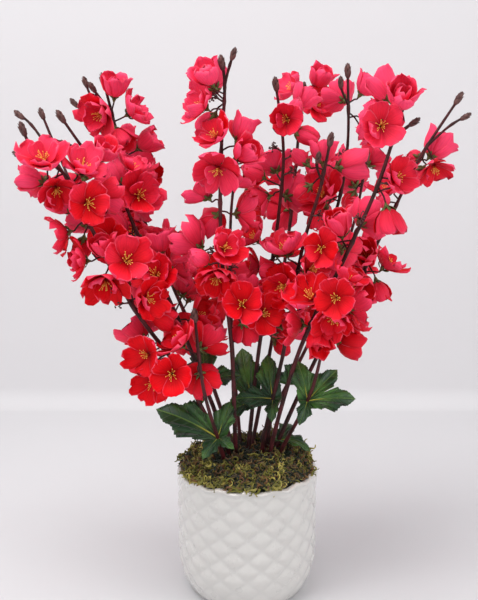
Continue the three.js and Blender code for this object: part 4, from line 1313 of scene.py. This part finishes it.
def pushed(gaps, clearances, strength, allowed=True):
    """The push along each gap that takes away a share of what it falls short of its clearance."""
    distances = np.maximum(np.linalg.norm(gaps, axis=-1), 1e-9)
    short = np.where((clearances > distances) & allowed, clearances - distances, 0)
    return gaps * (strength * short / distances)[..., None]


def off_wood(spots, clearances, strength):
    run = np.clip(((spots[:, None] - wood_start) * wood_run).sum(-1) / wood_length, 0, 1)
    nearest = wood_start + run[..., None] * wood_run
    return pushed(spots[:, None] - nearest, clearances + wood_radius, strength).sum(1)


others = ~np.eye(len(blossoms), dtype=bool)
for _ in range(SETTLING_PASSES):
    bases, facings, middles, waists = faced(directions)
    pushes = pushed(middles[:, None] - middles, bulks + bulks.T, BLOSSOM_PUSH, others).sum(1)
    crowded = pushed(waists[:, None] - middles, STALK_CLEARANCE + bulks.T, BLOSSOM_PUSH, strangers)
    pushes += crowded.sum(1) - crowded.sum(0)
    pushes += off_wood(middles, bulks, WOOD_PUSH) + off_wood(waists, STALK_CLEARANCE, STALK_PUSH)
    shortfall = LEAST_OUTWARD * stalks[:, 0] - ((bases - roots) * aways).sum(1)
    pushes += aways * (OUTWARD_PUSH * np.maximum(shortfall, 0))[:, None]
    directions = bases + pushes * np.where(front, LOOKING_OUT_SHARE, 1) - roots
    directions /= np.linalg.norm(directions, axis=1)[:, None]
bases, facings, _, _ = faced(directions)


def pressed_petal(reach, lift, width, wrap, cup, phase, across_count=PETAL_GRID):
    """A petal for a blossom of radius 1. Each list gives one value for each row from root to tip."""
    pick_nothing()
    bpy.ops.mesh.primitive_grid_add(
        x_subdivisions=across_count, y_subdivisions=len(reach) - 1, size=2, location=(0, 0, 0)
    )
    model = bpy.context.object
    points = points_of(model) * MM
    across, up = points[:, 0].copy(), (points[:, 1] + 1) / 2
    rows = np.linspace(0, 1, len(reach))
    out, rise, half = (np.interp(up, rows, values) for values in (reach, lift, width))
    # The tip is rounded towards its sides and notched in its middle.
    out = out - 0.09 * across**2 * up**4 - 0.05 * (1 - np.abs(across)) ** 2 * up**6
    out = np.maximum(out, 0.02)
    # A wrap of 1 bends the rows round the blossom's own middle, and one near 0 leaves them straight.
    bend = np.maximum(wrap, 1e-3) / out
    points[:, 0] = out - (1 - np.cos(half * across * bend)) / bend
    points[:, 1] = np.sin(half * across * bend) / bend
    ruffle = (
        0.08 * np.sin(2.7 * across + phase) * up**2 + 0.06 * np.sin(4.4 * across + 2 * phase) * up**4
    )
    lapped = 0.09 * across * up
    points[:, 0] += wrap * (ruffle + lapped)
    points[:, 2] = rise + cup * across**2 * up + (1 - wrap) * (ruffle + lapped)
    move_points(model, points / MM)
    thickened(model, PETAL_SHEET)
    shape = shape_of(model)
    shape["points"] *= MM
    # The sheet's own faces stay first in the mesh, with four corners each, and they are its back.
    shape["uv"][: 4 * across_count * (len(reach) - 1), 0] += BACK_OF_SHEET
    return shape


open_petals = [
    pressed_petal(
        [0.03, 0.28, 0.53, 0.77, 0.96, 1.06 - 0.3 * abs(droop)],
        [-0.03, 0.06, 0.19, 0.35, 0.45 + droop / 2, 0.48 + droop],
        [0.06, 0.27, 0.43, 0.51, 0.42, tip], 0.35, 0.2, phase,
    )
    for phase, droop, tip in [
        (0, 0.04, 0.18), (1.7, -0.16, 0.12), (3.1, 0.14, 0.2), (4.6, -0.05, 0.06), (5.6, 0.2, 0.16),
    ]
]
inner_petals = [
    pressed_petal([0.04, 0.20, 0.36, 0.49, 0.58, 0.62 + curl], [0, 0.09, 0.23, 0.39, 0.54, 0.66],
                  [0.05, 0.22, 0.35, 0.42, 0.37, 0.16], 0.5, 0.10, phase)
    for phase, curl in [(0.6, -0.1), (2.4, 0.04), (4.1, -0.03)]
]
cupped_petals = [
    pressed_petal([0.05, 0.30, 0.50, 0.61, 0.67, 0.69 + flare], [-0.03, 0.10, 0.32, 0.60, 0.88, 1.06],
                  [0.07, 0.32, 0.47, 0.55, 0.47, 0.21], 1, 0, phase)
    for phase, flare in [(0.3, 0.05), (2.2, -0.08), (4.0, 0.1)]
]
heart_petals = [
    pressed_petal([0.03, 0.18, 0.30, 0.36, 0.36, 0.31 + curl], [0, 0.14, 0.36, 0.60, 0.80, 0.94],
                  [0.05, 0.22, 0.35, 0.41, 0.35, 0.14], 1, 0, phase)
    for phase, curl in [(1.1, -0.05), (3.3, 0.06)]
]
wrapped_petals = [
    pressed_petal([0.04, 0.26, 0.38, 0.38, 0.28, 0.12], [-0.02, 0.10, 0.30, 0.54, 0.78, 0.94],
                  [0.08, 0.32, 0.46, 0.46, 0.33, 0.13], 1, 0, phase)
    for phase in (0.5, 2.5)
]
spread_sepal = pressed_petal([0.08, 0.19, 0.29, 0.37], [-0.11, -0.08, -0.02, 0.04],
                             [0.05, 0.075, 0.06, 0.012], 0.3, 0.02, 0, 2)
upright_sepal = pressed_petal([0.08, 0.20, 0.29, 0.33], [-0.10, -0.01, 0.11, 0.23],
                              [0.05, 0.085, 0.065, 0.012], 0.8, 0, 0, 2)
calyx_cup = shape_of(turned("calyx_cup", 10, [
    (0.8, -5.4), (1.2, -4.2), (2.0, -2.7), (2.3, -1.4), (2.0, -0.9), (0.8, -0.8),
]))

chance = np.random.default_rng(DRESSING_SEED)
anther = dict(bead, uv=np.tile((0.0, 1.0), (len(bead["uv"]), 1)))


def stamen_tuft():
    """Fine filaments that fan out from the middle of a blossom of radius 1, each with its anther."""
    shapes = []
    for number in range(STAMENS):
        way = math.radians(GOLDEN_ANGLE * number + chance.uniform(-12, 12))
        lean = math.radians(chance.uniform(4, 38))
        length = chance.uniform(0.36, 0.56)
        out = np.array([math.cos(way), math.sin(way), 0])
        path = [
            0.03 * out,
            out * (0.03 + 0.42 * length * math.sin(lean * 0.7)) + (0, 0, 0.5 * length),
            out * (0.03 + length * math.sin(lean)) + (0, 0, length * math.cos(lean)),
        ]
        shapes.append(sweep(path, [0.013, 0.011, 0.008], 3))
        shapes.append(dict(anther, points=anther["points"] * (0.024, 0.024, 0.034) + path[-1]))
    return joined(shapes)


stamen_tufts = [stamen_tuft() for _ in range(STAMEN_SHAPES)]

petal_silk, nodes, links, shader = new_finish(
    "crimson silk",
    {"Roughness": 0.62, "Specular IOR Level": 0.16, "Sheen Weight": 0.06, "Sheen Roughness": 0.3,
     "Sheen Tint": (1, 0.45, 0.6, 1)},
)
surface = on_surface(nodes, links)
on_back = reckoned(nodes, links, "GREATER_THAN", surface["X"], BACK_OF_SHEET - 0.5)
streaks = add_streaks(nodes, links, 15, 1.6, 0.5)
uneven = add_unevenness(nodes, links, 55, 0.35)
across = reckoned(nodes, links, "MULTIPLY_ADD", on_back, -BACK_OF_SHEET, surface["X"])
from_middle = reckoned(nodes, links, "MULTIPLY_ADD", across, 2, -1)
from_middle = reckoned(nodes, links, "ABSOLUTE", from_middle, None)
rim = reckoned(nodes, links, "MAXIMUM", from_middle, surface["Y"])
# Painted highlight: a paler line along the petals' edges, in patches.
rim_highlight_share = reckoned(nodes, links, "MULTIPLY", rising(nodes, links, rim, 0.87, 1.0, most=0.75),
                     rising(nodes, links, uneven.outputs["Height"], 0.38, 0.62))
# Painted shade: the petals darken towards their bases, deep in the bowl.
out_of_base_shade = rising(nodes, links, surface["Y"], 0, 0.6)
colour = blended(nodes, links, out_of_base_shade, PETAL_BASE_SHADE, PETAL_RED)
# Pinker towards the tips, on the backs and where the tone is high; towards the tips this is painted
# light.
outward = reckoned(nodes, links, "MULTIPLY_ADD", surface["Y"], 0.45, marked(nodes, "tone"))
pinkness = reckoned(nodes, links, "MULTIPLY_ADD", on_back, 0.45, outward)
colour = blended(nodes, links, rising(nodes, links, pinkness, 0.55, 1.6), colour, PETAL_PINK)
colour = blended(nodes, links, 1, colour, streaks.outputs["Tone"], "MULTIPLY")
colour = blended(nodes, links, 1, colour, uneven.outputs["Tone"], "MULTIPLY")
colour = blended(nodes, links, rim_highlight_share, colour, PETAL_RIM_HIGHLIGHT)
links.new(colour, shader.inputs["Base Color"])
raised(nodes, links, shader, streaks.outputs["Height"], 0.0006, 0.8)

stamen_thread, nodes, links, shader = new_finish("stamens", {"Roughness": 0.55})
share = rising(nodes, links, on_surface(nodes, links)["Y"], 0.05, 0.3)
links.new(blended(nodes, links, share, STAMEN_FOOT, STAMEN_GOLD), shader.inputs["Base Color"])

calyx_skin, nodes, links, shader = new_finish("calyx", {"Roughness": 0.6})
uneven = add_unevenness(nodes, links, 420, 0.5)
colour = blended(nodes, links, marked(nodes, "tone"), CALYX_GREEN, CALYX_RED)
coloured(nodes, links, shader, colour, uneven)

# The places of a cluster's finishes among its materials.
PETAL, STAMEN, CALYX, STALK = range(4)


def whorl(parts, shapes, frame_turn, base, size, count, offset, tone, slot=PETAL):
    """One ring of like petals or sepals round the blossom, each a little its own."""
    for number in range(count):
        spin = turn_about((0, 0, 1), offset + 360 * number / count + chance.normal(0, 4))
        nod = turn_about((0, 1, 0), chance.normal(0, PETAL_NOD))
        shape = shapes[chance.integers(len(shapes))]
        parts.append((shape, frame_turn @ spin @ nod * size * chance.uniform(0.92, 1.07), base, slot,
                      np.clip(tone + chance.normal(0, 0.1), 0, 1)))


for cluster in dict.fromkeys(cluster_names):
    parts = []
    for number, one in enumerate(blossoms):
        if one["cluster"] != cluster:
            continue
        base, facing, size, form = bases[number], facings[number], one["size"], one["form"]
        side = turn_about(facing, one["roll"]) @ unit(np.cross(facing, (0.31, 0.17, 0.93)))
        frame_turn = turn_to(side, facing)
        # Painted light: the tone rises on blossoms that stand higher and face up, as if lit from above,
        # with a random share.
        tone = 0.05 + 0.8 * (base[2] - 230) / 300 + 0.2 * facing[2] + chance.normal(0, 0.1)
        if form == "open":
            whorl(parts, open_petals, frame_turn, base, size, PETALS, 0, tone)
            inner = chance.integers(0, 2) if one["front"] else chance.integers(0, 5)
            whorl(parts, inner_petals, frame_turn, base, size, inner, 36, tone + 0.1)
            stamens = stamen_tufts[chance.integers(STAMEN_SHAPES)]
            parts.append((stamens, frame_turn * size * 0.98, base, STAMEN, 0.5))
            whorl(parts, [spread_sepal], frame_turn, base, size, PETALS, 36, 0.3, CALYX)
        elif form == "half_open":
            whorl(parts, cupped_petals, frame_turn, base, size, PETALS, 0, tone)
            whorl(parts, heart_petals, frame_turn, base, size, HEART_PETALS, 36, tone + 0.1)
            stamens = stamen_tufts[chance.integers(STAMEN_SHAPES)]
            parts.append((stamens, frame_turn * size * 0.9, base, STAMEN, 0.5))
            whorl(parts, [upright_sepal], frame_turn, base, size, PETALS, 36, 0.3, CALYX)
        else:
            whorl(parts, wrapped_petals, frame_turn, base, size, PETALS, 0, tone)
            whorl(parts, [upright_sepal], frame_turn, base, size * 0.95, PETALS, 36, 0.3, CALYX)
        parts.append((calyx_cup, frame_turn, base, CALYX, chance.uniform(0.1, 0.6)))
        foot = one["root"] - one["away"] * (SPUR_RADIUS + SPUR_CLEARANCE + 0.3)
        path = with_ends([
            foot, one["root"] + 0.35 * (base - one["root"]) - 0.8 * one["away"],
            base - facing * 3 * CALYX_DROP * 0.9, base - facing * 1.6 * CALYX_DROP,
        ])
        stalk = sweep([point_on(path, step / 8) for step in range(9)],
                      np.linspace(1.15, 1, 9) * STALK_RADIUS, 6)
        parts.append(in_place(stalk, STALK))
    piece = lay_out(f"flowers_{cluster}", [petal_silk, stamen_thread, calyx_skin, bark], parts)
    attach(piece, "root")
    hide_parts(f"blossoms_{cluster}")


# ---- Studio ----
# A pale table top that turns up into a wall behind it, soft daylight from all round with one broad
# lamp overhead and one at each side, and the camera a metre in front, tipped 13 degrees down.
WALL_PLACE = 0.56
WALL_HEIGHT = 2.2
WALL_TURN = 0.03
TABLE_WIDTH = 5
TABLE_PALE = (0.71, 0.70, 0.71)
CAMERA_PLACE = (-0.0082, -1.0, 0.534)
CAMERA_TILT = 13.2
CAMERA_FIELD = 31.6
DAYLIGHT = (0.97, 0.97, 1.0)
DAYLIGHT_STRENGTH = 0.62


def edges_where(model, test):
    """Puts the model in edit mode with only the edges picked whose two ends both pass the test."""
    pick(model)
    bpy.ops.object.mode_set(mode="EDIT")
    bpy.ops.mesh.select_mode(type="EDGE")
    bpy.ops.mesh.select_all(action="DESELECT")
    bpy.ops.object.mode_set(mode="OBJECT")
    for edge in model.data.edges:
        edge.select = all(test(model.data.vertices[corner].co) for corner in edge.vertices)
    bpy.ops.object.mode_set(mode="EDIT")


pick_nothing()
bpy.ops.mesh.primitive_plane_add(size=TABLE_WIDTH, location=(0, WALL_PLACE - TABLE_WIDTH / 2, 0))
table = bpy.context.object
table.name = "table_and_wall"
bpy.ops.object.transform_apply(location=True)
edges_where(table, lambda place: place.y > WALL_PLACE - 0.001)
bpy.ops.mesh.extrude_region_move(TRANSFORM_OT_translate={"value": (0, 0, WALL_HEIGHT)})
edges_where(table, lambda place: place.y > WALL_PLACE - 0.001 and place.z < 0.001)
bpy.ops.mesh.bevel(offset=WALL_TURN, segments=16, affect="EDGES")
bpy.ops.object.mode_set(mode="OBJECT")
bpy.ops.object.shade_smooth()
paper, nodes, links, shader = new_finish("pale paper", {"Roughness": 0.9, "Specular IOR Level": 0.2})
uneven = add_unevenness(nodes, links, 3, 0.03)
coloured(nodes, links, shader, TABLE_PALE, uneven)
# The back of the wall is clear, so that it hides nothing when the arrangement is seen from behind.
one_way = nodes.new("ShaderNodeMixShader")
links.new(nodes.new("ShaderNodeNewGeometry").outputs["Backfacing"], one_way.inputs["Fac"])
links.new(shader.outputs["BSDF"], one_way.inputs[1])
links.new(nodes.new("ShaderNodeBsdfTransparent").outputs["BSDF"], one_way.inputs[2])
links.new(one_way.outputs["Shader"], nodes["Material Output"].inputs["Surface"])
table.data.materials.append(paper)

room = bpy.data.worlds.new("room")
room.use_nodes = True
background = room.node_tree.nodes["Background"]
background.inputs["Color"].default_value = (*DAYLIGHT, 1)
background.inputs["Strength"].default_value = DAYLIGHT_STRENGTH
bpy.context.scene.world = room


def softbox(name, place, aim, size, watts):
    """A round lamp at a place, turned to face the aim."""
    lamp = bpy.data.lights.new(name, "AREA")
    lamp.shape, lamp.size, lamp.energy = "DISK", size, watts
    box = bpy.data.objects.new(name, lamp)
    back = np.array(place, dtype=float) - aim
    box.location = place
    box.rotation_euler = (
        math.atan2(math.hypot(*back[:2]), back[2]), 0, math.atan2(back[0], -back[1])
    )
    bpy.context.scene.collection.objects.link(box)


softbox("overhead", (-0.25, -0.3, 1.5), (0, 0, 0.3), 0.9, 11)
softbox("left", (-1.3, -0.9, 0.9), (0, 0, 0.3), 0.8, 6)
softbox("right", (1.3, -0.7, 0.6), (0, 0, 0.2), 0.8, 6)

camera = bpy.data.objects.new("camera", bpy.data.cameras.new("camera"))
camera.data.sensor_fit = "VERTICAL"
camera.data.angle = math.radians(CAMERA_FIELD)
camera.location = CAMERA_PLACE
camera.rotation_euler = (math.radians(90 - CAMERA_TILT), 0, 0)
bpy.context.scene.collection.objects.link(camera)
bpy.context.scene.camera = camera
bpy.context.scene.view_settings.view_transform = "Standard"
